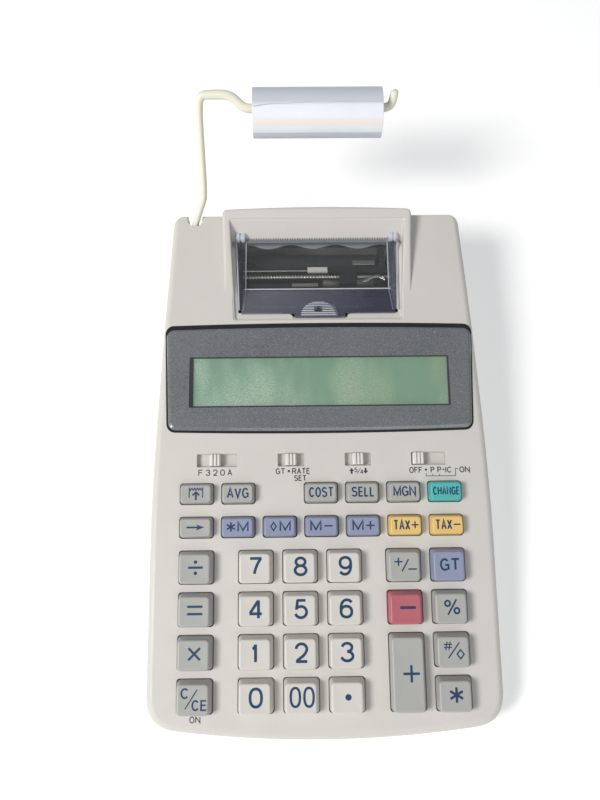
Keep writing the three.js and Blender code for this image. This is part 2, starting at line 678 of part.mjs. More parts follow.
// The clear cover: a trough from the front ledge down to a flat window and up to the toothed
// tear-off edge, with side flanges that carry the hinge pins.
function printerCover() {
  const sheet = 1.5;
  const top = [
    [181.2, 40.6], [184.5, 40.4], [196.6, 36.6], [217, 41.2], [221.2, 42.4],
  ];
  const half = 35.2;
  const underside = top.map(([y, z]) => [y, z - sheet]).reverse();
  const trough = sideProfile([...top, ...underside], -half, half);
  const flange = [
    [184, 39], [196.6, 35.4], [219, 40], [222.6, 42.4],
    [222.2, 45.2], [219.5, 45.2], [216, 42.4], [184, 40.8],
  ];
  const flanges = [-half - 1.3, half - 0.2].map((x) => sideProfile(flange, x, x + 1.5));
  const pins = [
    barX(COVER_HINGE.radius, -half - 3, -half, COVER_HINGE.y, COVER_HINGE.z, 12),
    barX(COVER_HINGE.radius, half, half + 3, COVER_HINGE.y, COVER_HINGE.z, 12),
  ];
  const teeth = 44;
  const pitch = (2 * half - 4) / teeth;
  const notches = [];
  for (let i = 0; i < teeth; i++) {
    const x = -half + 2 + pitch * (i + 0.5);
    const wedge = shapeOf([[x - pitch * 0.4, 222], [x, 220.2], [x + pitch * 0.4, 222]]);
    notches.push(prism(wedge, 38, 48));
  }
  return cut(unite([trough, ...flanges, ...pins]), notches);
}

// ---- Paper arm and roll ------------------------------------------------------------------------

// The raised arm lies in a leaning plane. This turns (x across, s up the arm, t out of its plane).
const armFrame = at(0, ARM.pivotY, ARM.pivotZ).multiply(new THREE.Matrix4().makeRotationX(ARM.lean));

// The centreline in that plane, with the width of the rod at each point.
const ARM_PATH = [
  { x: -56.5, s: 0, width: 3.6 },
  { x: -57.4, s: 0.9, width: 3.6 },
  { x: -58, s: 2.8, width: 3.4 },
  { x: -58, s: 11, width: 3.1 },
  { x: -53.1, s: 23.4, width: 3.1 },
  { x: -52.7, s: 26, width: 3.1 },
  { x: -52.7, s: 64, width: 3.1 },
  { x: -51.6, s: 67.6, width: 3.6 },
  { x: -48.6, s: 69.4, width: 4.2 },
  { x: -40.2, s: 69.6, width: 4.3 },
  { x: -37.2, s: 68.2, width: 4.3 },
  { x: -34.2, s: 64.8, width: 4.2 },
  { x: -30.8, s: 63.3, width: 4.1 },
  { x: 29.6, s: 63.3, width: 4 },
  { x: 32.6, s: 64.8, width: 3.8 },
  { x: 33.9, s: 67.6, width: 3.7 },
  { x: 33.9, s: 71, width: 3.6 },
];
const BAR_S = 63.3;

function paperArm() {
  const left = [];
  const right = [];
  ARM_PATH.forEach((point, i) => {
    const before = ARM_PATH[Math.max(i - 1, 0)];
    const after = ARM_PATH[Math.min(i + 1, ARM_PATH.length - 1)];
    const along = new THREE.Vector2(after.x - before.x, after.s - before.s).normalize();
    const half = point.width / 2;
    left.push([point.x - along.y * half, point.s + along.x * half]);
    right.push([point.x + along.y * half, point.s - along.x * half]);
  });
  const depth = ARM.thick - 2 * ARM.chamfer;
  const chamfered = { depth, bevelSize: ARM.chamfer, bevelOffset: -ARM.chamfer, bevelThickness: ARM.chamfer,
    bevelSegments: 1 };
  const outline = shapeOf([...right, ...left.reverse()]);
  const ribbon = solid(new THREE.ExtrudeGeometry(outline, chamfered), at(0, 0, -depth / 2));
  const pin = barX(ARM.pin.radius, ARM.pin.left, ARM.pin.right, ARM.pivotY, ARM.pivotZ);
  return ribbon.transform(armFrame.elements).add(pin);
}

const barCentre = new THREE.Vector3(0, BAR_S, 0).applyMatrix4(armFrame);
const rollCentre = { y: barCentre.y, z: barCentre.z - ROLL.hang };

function paperRoll() {
  const { radius, bore, halfLength } = ROLL;
  const paper = barX(radius, -halfLength, halfLength, rollCentre.y, rollCentre.z, 36);
  return paper.subtract(barX(bore, -halfLength - 1, halfLength + 1, rollCentre.y, rollCentre.z, 24));
}

function dcJack() {
  const { x, z, width, height, length, socket, depth } = JACK;
  const face = CASE.length - WALL - GAP;
  const block = box([x - width / 2, face - length, z - height / 2], [x + width / 2, face, z + height / 2]);
  return block.subtract(holeY(socket, face, 2 * depth, x, z));
}

// ---- Assembly ----------------------------------------------------------------------------------
add(body, "upper_case", FINISH.shell, upperCase());
add(body, "lower_case", FINISH.base, lowerCase());
add(body, "battery_cover", FINISH.base, batteryCover());

for (const key of KEYS) {
  const mesh = add(deck, `key_${key.name}`, FINISH[key.colour], keycap(key));
  mesh.position.set(key.x, key.v, 0);
}
for (const { name, knob } of SWITCHES) {
  const mesh = add(deck, name, FINISH.shell, switchKnob());
  mesh.position.set(knob, SWITCH.v, 0);
}
add(
  deck,
  "key_mat",
  FINISH.rubber,
  deckPlate(MAT.halfWidth, MAT.front, MAT.rear, MAT.top, MAT.thick),
);
add(
  deck,
  "main_board",
  FINISH.board,
  deckPlate(BOARD.halfWidth, BOARD.front, BOARD.rear, BOARD.top, BOARD.thick),
);
add(deck, "display_lens", FINISH.lens, displayLens());
const lcdFront = WINDOW.front - LCD.margin;
const lcdRear = WINDOW.rear + LCD.margin;
add(
  deck,
  "lcd_panel",
  FINISH.lcd,
  deckPlate(WINDOW.halfWidth + LCD.margin, lcdFront, lcdRear, LCD.top, LCD.thick),
);

add(body, "printer_frame", FINISH.dark, printerFrame());
add(body, "printer_motor", FINISH.steel, barX(MOTOR.radius, MOTOR.left, MOTOR.right, MOTOR.y, MOTOR.z, 20));
add(body, "motor_pinion", FINISH.steel, motorPinion());
add(body, "feed_roller", FINISH.rubber, feedRoller());
add(body, "carriage_shaft", FINISH.steel,
  barX(SHAFT.radius, -PRINTER.halfWidth + GAP, PRINTER.halfWidth - GAP, SHAFT.y, SHAFT.z, 12));
add(body, "carriage_spring", FINISH.steel, carriageSpring());
add(body, "print_carriage", FINISH.dark, printCarriage());
add(body, "print_wheel", FINISH.dark, typeWheel());
add(body, "ink_roller", FINISH.ink, inkRoller());
add(body, "printer_cover", FINISH.clear, printerCover());

add(body, "paper_arm", FINISH.arm, paperArm());
add(body, "paper_roll", FINISH.paper, paperRoll());
add(body, "dc_jack", FINISH.dark, dcJack());

// The origin goes under the middle of the whole object, roll included.
const rearmost = rollCentre.y + ROLL.radius;
body.position.y = -rearmost / 2;

export default calculator;
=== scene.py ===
import json
import math

import bmesh
import bpy
from mathutils import Matrix, Vector


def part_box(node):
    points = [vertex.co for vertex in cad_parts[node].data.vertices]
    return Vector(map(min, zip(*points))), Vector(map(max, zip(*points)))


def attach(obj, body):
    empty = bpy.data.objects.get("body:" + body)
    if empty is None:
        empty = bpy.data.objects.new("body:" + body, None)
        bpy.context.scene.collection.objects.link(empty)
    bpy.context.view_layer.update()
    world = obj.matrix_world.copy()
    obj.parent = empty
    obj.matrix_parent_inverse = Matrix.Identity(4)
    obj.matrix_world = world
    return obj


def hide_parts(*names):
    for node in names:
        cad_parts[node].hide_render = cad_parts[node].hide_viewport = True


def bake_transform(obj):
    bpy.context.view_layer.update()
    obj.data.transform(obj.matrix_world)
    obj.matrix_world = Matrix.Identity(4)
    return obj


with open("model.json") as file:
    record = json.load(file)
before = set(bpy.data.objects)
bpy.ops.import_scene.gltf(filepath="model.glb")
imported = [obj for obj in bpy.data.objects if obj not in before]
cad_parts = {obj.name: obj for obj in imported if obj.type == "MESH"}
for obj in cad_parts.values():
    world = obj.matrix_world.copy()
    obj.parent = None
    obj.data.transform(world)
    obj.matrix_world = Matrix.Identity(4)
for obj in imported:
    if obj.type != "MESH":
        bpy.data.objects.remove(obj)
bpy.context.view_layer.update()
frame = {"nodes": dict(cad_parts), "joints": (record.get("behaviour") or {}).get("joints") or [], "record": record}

# ---- Frames and driving dimensions, in millimetres ----------------------------------------------
# Body coordinates: x across, y from the front edge of the case, z from the desk.
# Deck coordinates: x across, v up the sloping keyboard, h out of it.
MM = 0.001
case_low, case_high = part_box("upper_case")
joints = {joint["name"]: joint for joint in frame["joints"]}
BODY = Matrix.Translation((0, case_low.y, 0)) @ Matrix.Scale(MM, 4)

press = Vector(joints["key_5_press"]["axis"])
SLOPE = math.atan2(press.y, -press.z)
DECK_FRONT = 15.5  # height of the keyboard plane at the front edge
DECK = BODY @ Matrix.Translation((0, 0, DECK_FRONT)) @ Matrix.Rotation(SLOPE, 4, "X")

LENGTH = (case_high.y - case_low.y) / MM
HALF_WIDTH = case_high.x / MM
PARTING = case_low.z / MM
HOOD_TOP = case_high.z / MM
WALL = 2.2
DECK_END = 177
SHOULDER = {DECK_END + 8: 41.07, LENGTH: 44.5}  # y to height behind the keyboard plane
WELL = {"front": 180, "rear": 226, "half_front": 38.2, "half_rear": 40.8}


def in_frame(matrix, point):
    """A point of the row frame, in metres, in the millimetres of matrix."""
    return matrix.inverted() @ Vector(point)


def node_box(node, matrix):
    """Lowest and highest corner of a CAD node in the millimetres of matrix."""
    inverse = matrix.inverted()
    corners = [inverse @ vertex.co for vertex in frame["nodes"][node].data.vertices]
    low = Vector([min(c[i] for c in corners) for i in range(3)])
    high = Vector([max(c[i] for c in corners) for i in range(3)])
    return low, high


def middle_of(node):
    """The middle of a CAD node in body coordinates."""
    low, high = node_box(node, BODY)
    return (low + high) / 2


# ---- Materials ----------------------------------------------------------------------------------
def srgb(code):
    """A hex colour as linear red, green, blue and 1."""
    parts = [int(code[i : i + 2], 16) / 255 for i in (0, 2, 4)]
    return [c / 12.92 if c <= 0.04045 else ((c + 0.055) / 1.055) ** 2.4 for c in parts] + [1]


class Nodes:
    """A short way to wire shader nodes."""

    def __init__(self, name):
        self.material = bpy.data.materials.new(name)
        self.material.use_nodes = True
        self.tree = self.material.node_tree
        self.shader = self.tree.nodes["Principled BSDF"]
        self.output = self.tree.nodes["Material Output"]

    def add(self, kind, links=(), **values):
        """A new node. values fill its inputs or settings, and links join inputs to other sockets."""
        node = self.tree.nodes.new(kind)
        for key, value in values.items():
            if key in node.inputs:
                node.inputs[key].default_value = value
            else:
                setattr(node, key, value)
        for socket, source in dict(links).items():
            self.tree.links.new(source, node.inputs[socket])
        return node

    def set(self, **values):
        """Fills or links the shader's inputs and returns the finished material."""
        for key, value in values.items():
            socket = self.shader.inputs[key.replace("_", " ")]
            if isinstance(value, bpy.types.NodeSocket):
                self.tree.links.new(value, socket)
            else:
                socket.default_value = value
        return self.material

    def place(self):
        """Where a point lies on its object, in metres."""
        return self.add("ShaderNodeTexCoord").outputs["Object"]

    def noise(self, scale, detail=3, vector=None):
        """Noise with about scale blotches to the metre."""
        node = self.add("ShaderNodeTexNoise", {"Vector": vector or self.place()}, Scale=scale, Detail=detail)
        return node.outputs["Fac"]

    def span(self, value, low, high, to_low=0, to_high=1):
        """A value that runs from low to high, stretched to run from to_low to to_high."""
        names = ("From Min", "From Max", "To Min", "To Max")
        node = self.add("ShaderNodeMapRange", {"Value": value})
        for name, number in zip(names, (low, high, to_low, to_high)):
            node.inputs[name].default_value = number
        return node.outputs["Result"]

    def vary(self, scale, detail, low=0, high=1):
        """Noise whose middle part runs from low to high."""
        return self.span(self.noise(scale, detail), 0.3, 0.7, low, high)

    def mix(self, factor, first, second, blend="MIX"):
        """Two colours mixed by factor, from the first to the second."""
        node = self.add("ShaderNodeMix", data_type="RGBA", blend_type=blend)
        for index, value in ((0, factor), (6, first), (7, second)):
            if isinstance(value, bpy.types.NodeSocket):
                self.tree.links.new(value, node.inputs[index])
            else:
                node.inputs[index].default_value = value
        return node.outputs[2]

    def bump(self, height, strength, distance):
        """A bent normal from a height, with distance in metres."""
        node = self.add("ShaderNodeBump", {"Height": height}, Strength=strength, Distance=distance)
        return node.outputs["Normal"]


def shade(colour, factor):
    """A colour made darker or lighter by factor."""
    return [c * factor for c in colour[:3]] + [1]


def moulded(name, code, roughness, grain=0.25, grime=0.94, coat=0.0):
    """Injection-moulded plastic: spark-eroded grain, faint blotches and specks tinted by grime."""
    m = Nodes(name)
    base = srgb(code)
    blotches = m.vary(38, 5)
    specks = m.span(m.noise(900, 2), 0.62, 0.8)
    tone = m.mix(blotches, shade(base, 0.975), shade(base, 1.01))
    tone = m.mix(specks, tone, shade(base, grime))
    fine = m.noise(2600, 2)
    return m.set(
        Base_Color=tone,
        Roughness=m.vary(160, 4, roughness - 0.05, roughness + 0.06),
        Normal=m.bump(fine, grain, 0.00006),
        Specular_IOR_Level=0.45,
        Coat_Weight=coat,
        Coat_Roughness=0.25,
    )


def printed_ink(name, code):
    """Screen-printed ink: slightly uneven, a little glossier than the plastic."""
    m = Nodes(name)
    ink = srgb(code)
    patchy = m.span(m.noise(1400, 3), 0.35, 0.75)
    return m.set(
        Base_Color=m.mix(patchy, ink, shade(ink, 1.35)),
        Roughness=m.vary(700, 2, 0.34, 0.46),
    )


def speckled_lens():
    """Smoked plastic, metallic blue-grey print under a clear glossy face, with tiny pale flecks."""
    m = Nodes("smoked_lens")
    clouds = m.vary(26, 4)
    tone = m.mix(clouds, srgb("5d6062"), srgb("6b6d6f"))
    fine = m.span(m.noise(1900, 2), 0.45, 0.72)
    tone = m.mix(fine, tone, srgb("818486"))
    flecks = m.span(m.noise(900, 1), 0.77, 0.82)
    tone = m.mix(flecks, tone, srgb("a9b0b6"))
    return m.set(
        Base_Color=tone,
        Roughness=m.vary(300, 2, 0.26, 0.36),
        Specular_IOR_Level=0.5,
        Coat_Weight=1.0,
        Coat_Roughness=0.04,
    )


def dark_gloss(name, code):
    """Glossy dark plastic with faint clouds."""
    m = Nodes(name)
    tone = m.mix(m.vary(220, 3), srgb(code), shade(srgb(code), 1.5))
    return m.set(
        Base_Color=tone,
        Roughness=m.vary(500, 2, 0.1, 0.2),
        Coat_Weight=0.6,
        Coat_Roughness=0.05,
    )


def lcd_glass():
    """Grey-green reflective LCD: soft clouds of colour and a very fine vertical brushing behind it."""
    m = Nodes("lcd")
    place = m.place()
    stretched = m.add("ShaderNodeMapping", {"Vector": place}, Scale=(1, 0.35, 1)).outputs["Vector"]
    clouds = m.span(m.noise(34, 3, stretched), 0.42, 0.58)
    across = m.add("ShaderNodeSeparateXYZ", {"Vector": place}).outputs["X"]
    tone = m.mix(m.span(across, -0.05, 0.05), srgb("d6eede"), srgb("a9b58c"))
    tone = m.mix(clouds, srgb("7ba58f"), tone)
    smears = m.span(m.noise(52, 5, stretched), 0.5, 0.66, 0, 0.7)
    tone = m.mix(smears, tone, srgb("c6dccd"))
    fine = m.vary(2200, 2)
    tone = m.mix(fine, tone, srgb("84a787"))
    return m.set(
        Base_Color=tone,
        Roughness=m.vary(300, 2, 0.28, 0.4),
        Coat_Weight=1.0,
        Coat_Roughness=0.03,
    )


def clear_plastic(name, code, openness, grazing=0.85, far_code=None):
    """Clear moulded plastic, mirror-like at grazing angles, hazy, turning to far_code towards the right."""
    m = Nodes(name)
    haze = m.span(m.noise(90, 4), 0.35, 0.75)
    across = m.add("ShaderNodeSeparateXYZ", {"Vector": m.place()}).outputs["X"]
    tone = m.mix(m.span(across, -0.03, 0.025), srgb(code), srgb(far_code or code))
    m.set(
        Base_Color=m.mix(haze, tone, m.mix(1.0, tone, [1.15, 1.15, 1.15, 1], "MULTIPLY")),
        Roughness=m.vary(240, 3, 0.04, 0.14),
        Specular_IOR_Level=0.8,
        Coat_Weight=0.5,
        Coat_Roughness=0.03,
    )
    rim = m.add("ShaderNodeLayerWeight", Blend=0.35).outputs["Facing"]
    solid = m.span(rim, 0.0, 0.9, 1 - openness, grazing)
    through = m.add("ShaderNodeBsdfTransparent")
    both = m.add(
        "ShaderNodeMixShader",
        {0: solid, 1: through.outputs[0], 2: m.shader.outputs[0]},
    )
    m.tree.links.new(both.outputs[0], m.output.inputs["Surface"])
    return m.material


def metal(name, code, roughness, scale=(1, 1, 1)):
    """Turned or drawn metal. Its fine scratches run along the axes where scale is small."""
    m = Nodes(name)
    place = m.add("ShaderNodeMapping", {"Vector": m.place()}, Scale=scale).outputs["Vector"]
    scratches = m.noise(1800, 3, place)
    tone = m.mix(m.span(scratches, 0.3, 0.7), shade(srgb(code), 0.8), srgb(code))
    return m.set(
        Base_Color=tone,
        Metallic=1.0,
        Roughness=m.span(scratches, 0.3, 0.7, roughness - 0.08, roughness + 0.1),
        Normal=m.bump(scratches, 0.15, 0.00005),
    )


def rubber(name, code, roughness=0.8):
    """Dull rubber, slightly patchy and finely pitted."""
    m = Nodes(name)
    tone = m.mix(m.vary(60, 5), srgb(code), shade(srgb(code), 1.5))
    return m.set(
        Base_Color=tone,
        Roughness=m.vary(400, 3, roughness - 0.08, roughness + 0.1),
        Normal=m.bump(m.noise(1500, 3), 0.4, 0.0001),
    )


def circuit_board():
    """Green solder mask with copper tracks showing through as a faint grid."""
    m = Nodes("circuit_board")
    bricks = m.add(
        "ShaderNodeTexBrick",
        {"Vector": m.place()},
        Scale=260,
        Color1=srgb("2c6a45"),
        Color2=srgb("28603e"),
        Mortar=srgb("4c8a5c"),
    )
    return m.set(
        Base_Color=bricks.outputs["Color"],
        Roughness=m.vary(300, 2, 0.35, 0.5),
        Coat_Weight=0.4,
    )


def paper_skin(axis_y, axis_z):
    """Thermal paper: cool white, with painted shade that greys the top of the roll above the loose turn's free
    edge, and one warm band below that edge.
    """
    m = Nodes("paper")
    place = m.add("ShaderNodeSeparateXYZ", {"Vector": m.place()})
    dy = m.add("ShaderNodeMath", {0: place.outputs["Y"]}, operation="SUBTRACT")
    dy.inputs[1].default_value = axis_y
    dz = m.add("ShaderNodeMath", {0: place.outputs["Z"]}, operation="SUBTRACT")
    dz.inputs[1].default_value = axis_z
    turn = m.add("ShaderNodeMath", {0: dz.outputs[0], 1: dy.outputs[0]}, operation="ARCTAN2")
    angle = turn.outputs[0]
    after = m.span(angle, math.radians(140), math.radians(143))
    before = m.span(angle, math.radians(162), math.radians(159))
    band = m.add("ShaderNodeMath", {0: after, 1: before}, operation="MULTIPLY").outputs[0]
    # painted shade: the roll is greyer (cfd1db) on its top, above the loose turn's free edge
    above = m.span(angle, math.radians(112), math.radians(104))
    white = m.mix(m.vary(55, 4), srgb("e6e9f1"), srgb("eef0f6"))
    tone = m.mix(band, white, srgb("efe6e3"))
    tone = m.mix(above, tone, srgb("cfd1db"))
    return m.set(
        Base_Color=tone,
        Roughness=m.vary(500, 3, 0.5, 0.62),
        Normal=m.bump(m.noise(1300, 4), 0.12, 0.00008),
        Sheen_Weight=0.1,
    )


def paper_edge(axis_y, axis_z):
    """The ends of the roll, where the edges of the turns show as fine rings."""
    m = Nodes("paper_edge")
    centred = m.add("ShaderNodeMapping", {"Vector": m.place()}, Location=(0, -axis_y, -axis_z))
    rings = m.add("ShaderNodeTexWave", {"Vector": centred.outputs["Vector"]}, wave_type="RINGS", Scale=900)
    rings.rings_direction = "X"
    turns = rings.outputs["Fac"]
    return m.set(
        Base_Color=m.mix(turns, srgb("b9bcc6"), srgb("e4e6ec")),
        Roughness=m.vary(500, 3, 0.6, 0.75),
        Normal=m.bump(turns, 0.3, 0.0001),
    )


def felt(name, code):
    """Ink-soaked felt, with lighter and darker fibres."""
    m = Nodes(name)
    fibres = m.noise(1900, 5)
    return m.set(
        Base_Color=m.mix(m.span(fibres, 0.3, 0.7), shade(srgb(code), 0.6), shade(srgb(code), 1.6)),
        Roughness=m.span(fibres, 0.3, 0.7, 0.75, 0.95),
        Normal=m.bump(fibres, 0.6, 0.0003),
        Sheen_Weight=0.4,
    )


ROLL_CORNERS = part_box("paper_roll")
ROLL_AXIS = ((ROLL_CORNERS[0] + ROLL_CORNERS[1]) / 2)[1:]

LOOK = {
    "case": moulded("case", "d2cfc9", 0.46),
    "base": moulded("base", "cfcdc6", 0.55, 0.4),
    "key_white": moulded("key_white", "d3cfc9", 0.4, 0.12, 0.96),
    "key_grey": moulded("key_grey", "adada9", 0.4, 0.12, 0.96),
    "key_blue": moulded("key_blue", "9096b0", 0.4, 0.12, 0.95),
    "key_teal": moulded("key_teal", "54b6b2", 0.38, 0.12, 0.95),
    "key_yellow": moulded("key_yellow", "e7c377", 0.38, 0.12, 0.96),
    "key_red": moulded("key_red", "b96670", 0.38, 0.12, 0.95),
    "knob": moulded("knob", "e6e3de", 0.35, 0.1, 0.97),
    "shield": moulded("shield", "c9c7c1", 0.5, 0.1, 0.97),
    "ink_blue": printed_ink("ink_blue", "173a5a"),
    "ink_black": printed_ink("ink_black", "34363b"),
    "smoked_lens": speckled_lens(),
    # glossy black for the ring round the lens: painted shade for the gap between the lens and the case
    "lens_gap_shade": dark_gloss("lens_gap_shade", "14171b"),
    "window_wall": moulded("window_wall", "0c0d10", 0.6, 0.2, 1.2),
    "lcd": lcd_glass(),
    "pane": clear_plastic("pane", "c9d2d0", 0.975, 0.6),
    "clear": clear_plastic("clear_plastic", "8a8d8f", 0.945),
    "ramp": clear_plastic("ramp", "7c7e8a", 0.62, far_code="4a4a60"),
    "clear_edge": clear_plastic("clear_edge", "8c8f9a", 0.9, grazing=0.4),
    "tooth": clear_plastic("tooth", "8f9296", 0.4),
    # pale plastic that stands in for glints: painted highlights on the cover's edges, its fold and the hinge
    # barrels
    "painted_highlight": clear_plastic("painted_highlight", "dfe2ee", 0.35),
    "frosted": clear_plastic("frosted_plastic", "9a9cab", 0.62),
    "frosted_rib": clear_plastic("frosted_rib", "c9cad6", 0.25),
    "black_plastic": moulded("black_plastic", "1d2024", 0.45, 0.3, 1.3),
    "steel": metal("bright_steel", "e2e0da", 0.28, (0.05, 1, 1)),
    "dull_steel": metal("dull_steel", "c9c5bc", 0.42, (0.05, 1, 1)),
    "brass": metal("brass", "c9a35a", 0.32),
    "guide_plastic": moulded("guide_plastic", "a8adb3", 0.35, 0.2, 1.1),
    "roller_rubber": rubber("roller_rubber", "26272a"),
    "silicone": rubber("silicone", "8c8f92", 0.7),
    "foot_rubber": rubber("foot_rubber", "3a3a3b"),
    "circuit_board": circuit_board(),
    "ink_felt": felt("ink_felt", "2c2440"),
    "arm_plastic": moulded("arm_plastic", "e9e6d4", 0.36, 0.1, 0.97, 0.15),
    "paper": paper_skin(*ROLL_AXIS),
    "paper_edge": paper_edge(*ROLL_AXIS),
    "core": moulded("roll_core", "cfc9bd", 0.7, 0.4, 0.9),
    "cell": moulded("battery_sleeve", "4a5a66", 0.3, 0.05, 1.1, 0.4),
}


# ---- Mesh making --------------------------------------------------------------------------------
def rounded_rect(width, depth, radius, steps, x=0.0, y=0.0):
    """Points round a rectangle with round corners, centred on (x, y), counter-clockwise."""
    points = []
    radius = min(radius, width / 2 - 1e-3, depth / 2 - 1e-3)
    for quarter, (sx, sy) in enumerate(((1, 1), (-1, 1), (-1, -1), (1, -1))):
        cx, cy = sx * (width / 2 - radius), sy * (depth / 2 - radius)
        for step in range(steps + 1):
            angle = math.pi / 2 * (quarter + step / steps)
            points.append((x + cx + radius * math.cos(angle), y + cy + radius * math.sin(angle)))
    return points


def quad_curve(a, b, c, steps):
    """Points along a quadratic curve from a towards c, without c."""
    out = []
    for i in range(steps):
        t = i / steps
        out.append(tuple((1 - t) ** 2 * p + 2 * t * (1 - t) * q + t * t * r for p, q, r in zip(a, b, c)))
    return out


def circle(radius, steps, x=0.0, y=0.0):
    """Points round a circle, counter-clockwise."""
    angles = [2 * math.pi / steps * i for i in range(steps)]
    return [(x + radius * math.cos(angle), y + radius * math.sin(angle)) for angle in angles]


def inset(points, distance):
    """A counter-clockwise outline moved inwards by distance, corner by corner."""
    out = []
    for i, (x, y) in enumerate(points):
        (ax, ay), (bx, by) = points[i - 1], points[(i + 1) % len(points)]
        first = Vector((y - ay, ax - x)).normalized()
        second = Vector((by - y, x - bx)).normalized()
        middle = first + second
        middle *= distance / max(middle.dot(first), 0.3)
        out.append((x - middle.x, y - middle.y))
    return out


class Build:
    """Collects vertices and faces, in the millimetres of matrix, and makes one object."""

    def __init__(self, matrix=BODY):
        self.matrix = matrix
        self.vertices = []
        self.faces = []
        self.slots = []

    def ring(self, points):
        """Adds points and returns their numbers."""
        start = len(self.vertices)
        self.vertices += [self.matrix @ Vector(p) for p in points]
        return list(range(start, start + len(points)))

    def face(self, corners, slot=0):
        self.faces.append(corners)
        self.slots.append(slot)

    def skin(self, rings, closed=True, slot=0):
        """Faces between each ring of numbers and the next."""
        count = len(rings[0])
        for low, high in zip(rings, rings[1:]):
            for i in range(count if closed else count - 1):
                j = (i + 1) % count
                self.face((low[i], low[j], high[j], high[i]), slot)

    def loft(self, rings, slot=0):
        """Rings of points, each counter-clockwise seen from where the loft goes to, with end faces."""
        made = [self.ring(points) for points in rings]
        self.skin(made, slot=slot)
        self.face(tuple(reversed(made[0])), slot)
        self.face(tuple(made[-1]), slot)

    def stack(self, outline, levels):
        """An outline in x and y at several levels: pairs of how far it is moved inwards and a height."""
        self.loft([[(x, y, z) for x, y in inset(outline, d)] for d, z in levels])

    def prism(self, outline, low, high, chamfer=0.0):
        """An outline in x and y, raised from low to high, with a chamfer round the top."""
        edge = [(0, high - chamfer), (chamfer, high)] if chamfer else [(0, high)]
        self.stack(outline, [(0, low), *edge])

    def box(self, low, high, chamfer=0.0):
        """A box between two corners, with a chamfer round the top."""
        outline = [(low[0], low[1]), (high[0], low[1]), (high[0], high[1]), (low[0], high[1])]
        self.prism(outline, low[2], high[2], chamfer)

    def side_plate(self, outline, left, right):
        """An outline in y and z, carried along X."""
        self.loft([[(x, y, z) for y, z in outline] for x in (left, right)])

    def lathe_x(self, profile, y, z, steps=32, closed=False):
        """A profile of (x, radius) points turned about an axis along X; closed joins its ends up."""
        rings = [[(x, y + a, z + b) for a, b in circle(radius, steps)] for x, radius in profile]
        if closed:
            made = [self.ring(points) for points in rings]
            self.skin(made + [made[0]])
        else:
            self.loft(rings)

    def lathe_y(self, profile, x, z, steps=32):
        """A profile of (y, radius) points turned about an axis along Y."""
        self.loft([[(x + a, y, z - b) for a, b in circle(radius, steps)] for y, radius in profile])

    def lathe_z(self, profile, x, y, steps=32):
        """A profile of (z, radius) points turned about an axis along Z."""
        self.loft([[(px, py, z) for px, py in circle(radius, steps, x, y)] for z, radius in profile])

    def tube(self, path, section, up=Vector((0, 0, 1))):
        """A rod along path. section gives its (side, up) points at a share of the way along."""
        rings = []
        for i, point in enumerate(path):
            before, after = path[max(i - 1, 0)], path[min(i + 1, len(path) - 1)]
            along = (Vector(after) - Vector(before)).normalized()
            side = along.cross(up).normalized()
            top = side.cross(along)
            share = i / (len(path) - 1)
            rings.append([tuple(Vector(point) + side * a + top * b) for a, b in section(share)])
        self.loft(rings)

    def make(self, name, materials, smooth=30):
        """Makes the object. Edges sharper than smooth degrees stay sharp, and 0 keeps all faces flat."""
        mesh = bpy.data.meshes.new(name)
        mesh.from_pydata(self.vertices, [], self.faces)
        mesh.polygons.foreach_set("material_index", self.slots)
        for material in materials if isinstance(materials, (list, tuple)) else [materials]:
            mesh.materials.append(material)
        tidy_normals(mesh)
        obj = bpy.data.objects.new(name, mesh)
        bpy.context.scene.collection.objects.link(obj)
        soften(mesh, smooth)
        return obj

    def piece(self, name, look, body="root", slot=None, replaces=(), smooth=30):
        """Makes the object with a named look and puts it on its body."""
        return place(self.make(name, LOOK[look], smooth), body, slot, replaces)


def tidy_normals(mesh):
    """Welds points that coincide and turns every face outwards."""
    work = bmesh.new()
    work.from_mesh(mesh)
    bmesh.ops.remove_doubles(work, verts=work.verts, dist=1e-7)
    bmesh.ops.recalc_face_normals(work, faces=work.faces)
    work.to_mesh(mesh)
    work.free()


def soften(mesh, degrees):
    """Smooth shading, with edges sharper than degrees kept sharp."""
    work = bmesh.new()
    work.from_mesh(mesh)
    limit = math.radians(degrees)
    for face in work.faces:
        face.smooth = degrees > 0
    for edge in work.edges:
        edge.smooth = len(edge.link_faces) == 2 and edge.calc_face_angle(0) < limit
    work.to_mesh(mesh)
    work.free()


def bake(obj):
    """Applies the modifiers of obj to its mesh."""
    depsgraph = bpy.context.evaluated_depsgraph_get()
    made = bpy.data.meshes.new_from_object(obj.evaluated_get(depsgraph))
    obj.modifiers.clear()
    obj.data = made
    return obj


def combine(obj, tool, operation="DIFFERENCE"):
    """Joins or cuts obj with tool, a Build or an object, which is used up."""
    if isinstance(tool, Build):
        tool = tool.make("tool", list(obj.data.materials))
    step = obj.modifiers.new(operation, "BOOLEAN")
    step.operation = operation
    step.solver = "MANIFOLD"
    step.object = tool
    bake(obj)
    bpy.data.objects.remove(tool)
    return obj


def finish_solid(obj, degrees=28):
    """Welds the slivers that joining leaves, and weights the shading by face area."""
    work = bmesh.new()
    work.from_mesh(obj.data)
    bmesh.ops.remove_doubles(work, verts=work.verts, dist=2e-6)
    bmesh.ops.dissolve_degenerate(work, edges=work.edges, dist=1e-6)
    work.to_mesh(obj.data)
    work.free()
    soften(obj.data, degrees)
    weighted = obj.modifiers.new("weighted", "WEIGHTED_NORMAL")
    weighted.keep_sharp = True
    return bake(obj)


def place(obj, body="root", slot=None, replaces=()):
    """Puts a piece on its body, and hides the CAD nodes that it stands for; slot is not used."""
    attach(obj, body)
    if replaces:
        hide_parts(*replaces)
    return obj


# ---- Case ---------------------------------------------------------------------------------------
FRONT_BOW = 4.0
FRONT_CORNER = 12  # how far the round front corners reach in from the sides
WAIST = {"y": 135, "half": 73.3}  # behind the waist the sides run in straight to the rear
REAR_HALF = 68.0
REAR_CORNER = 5
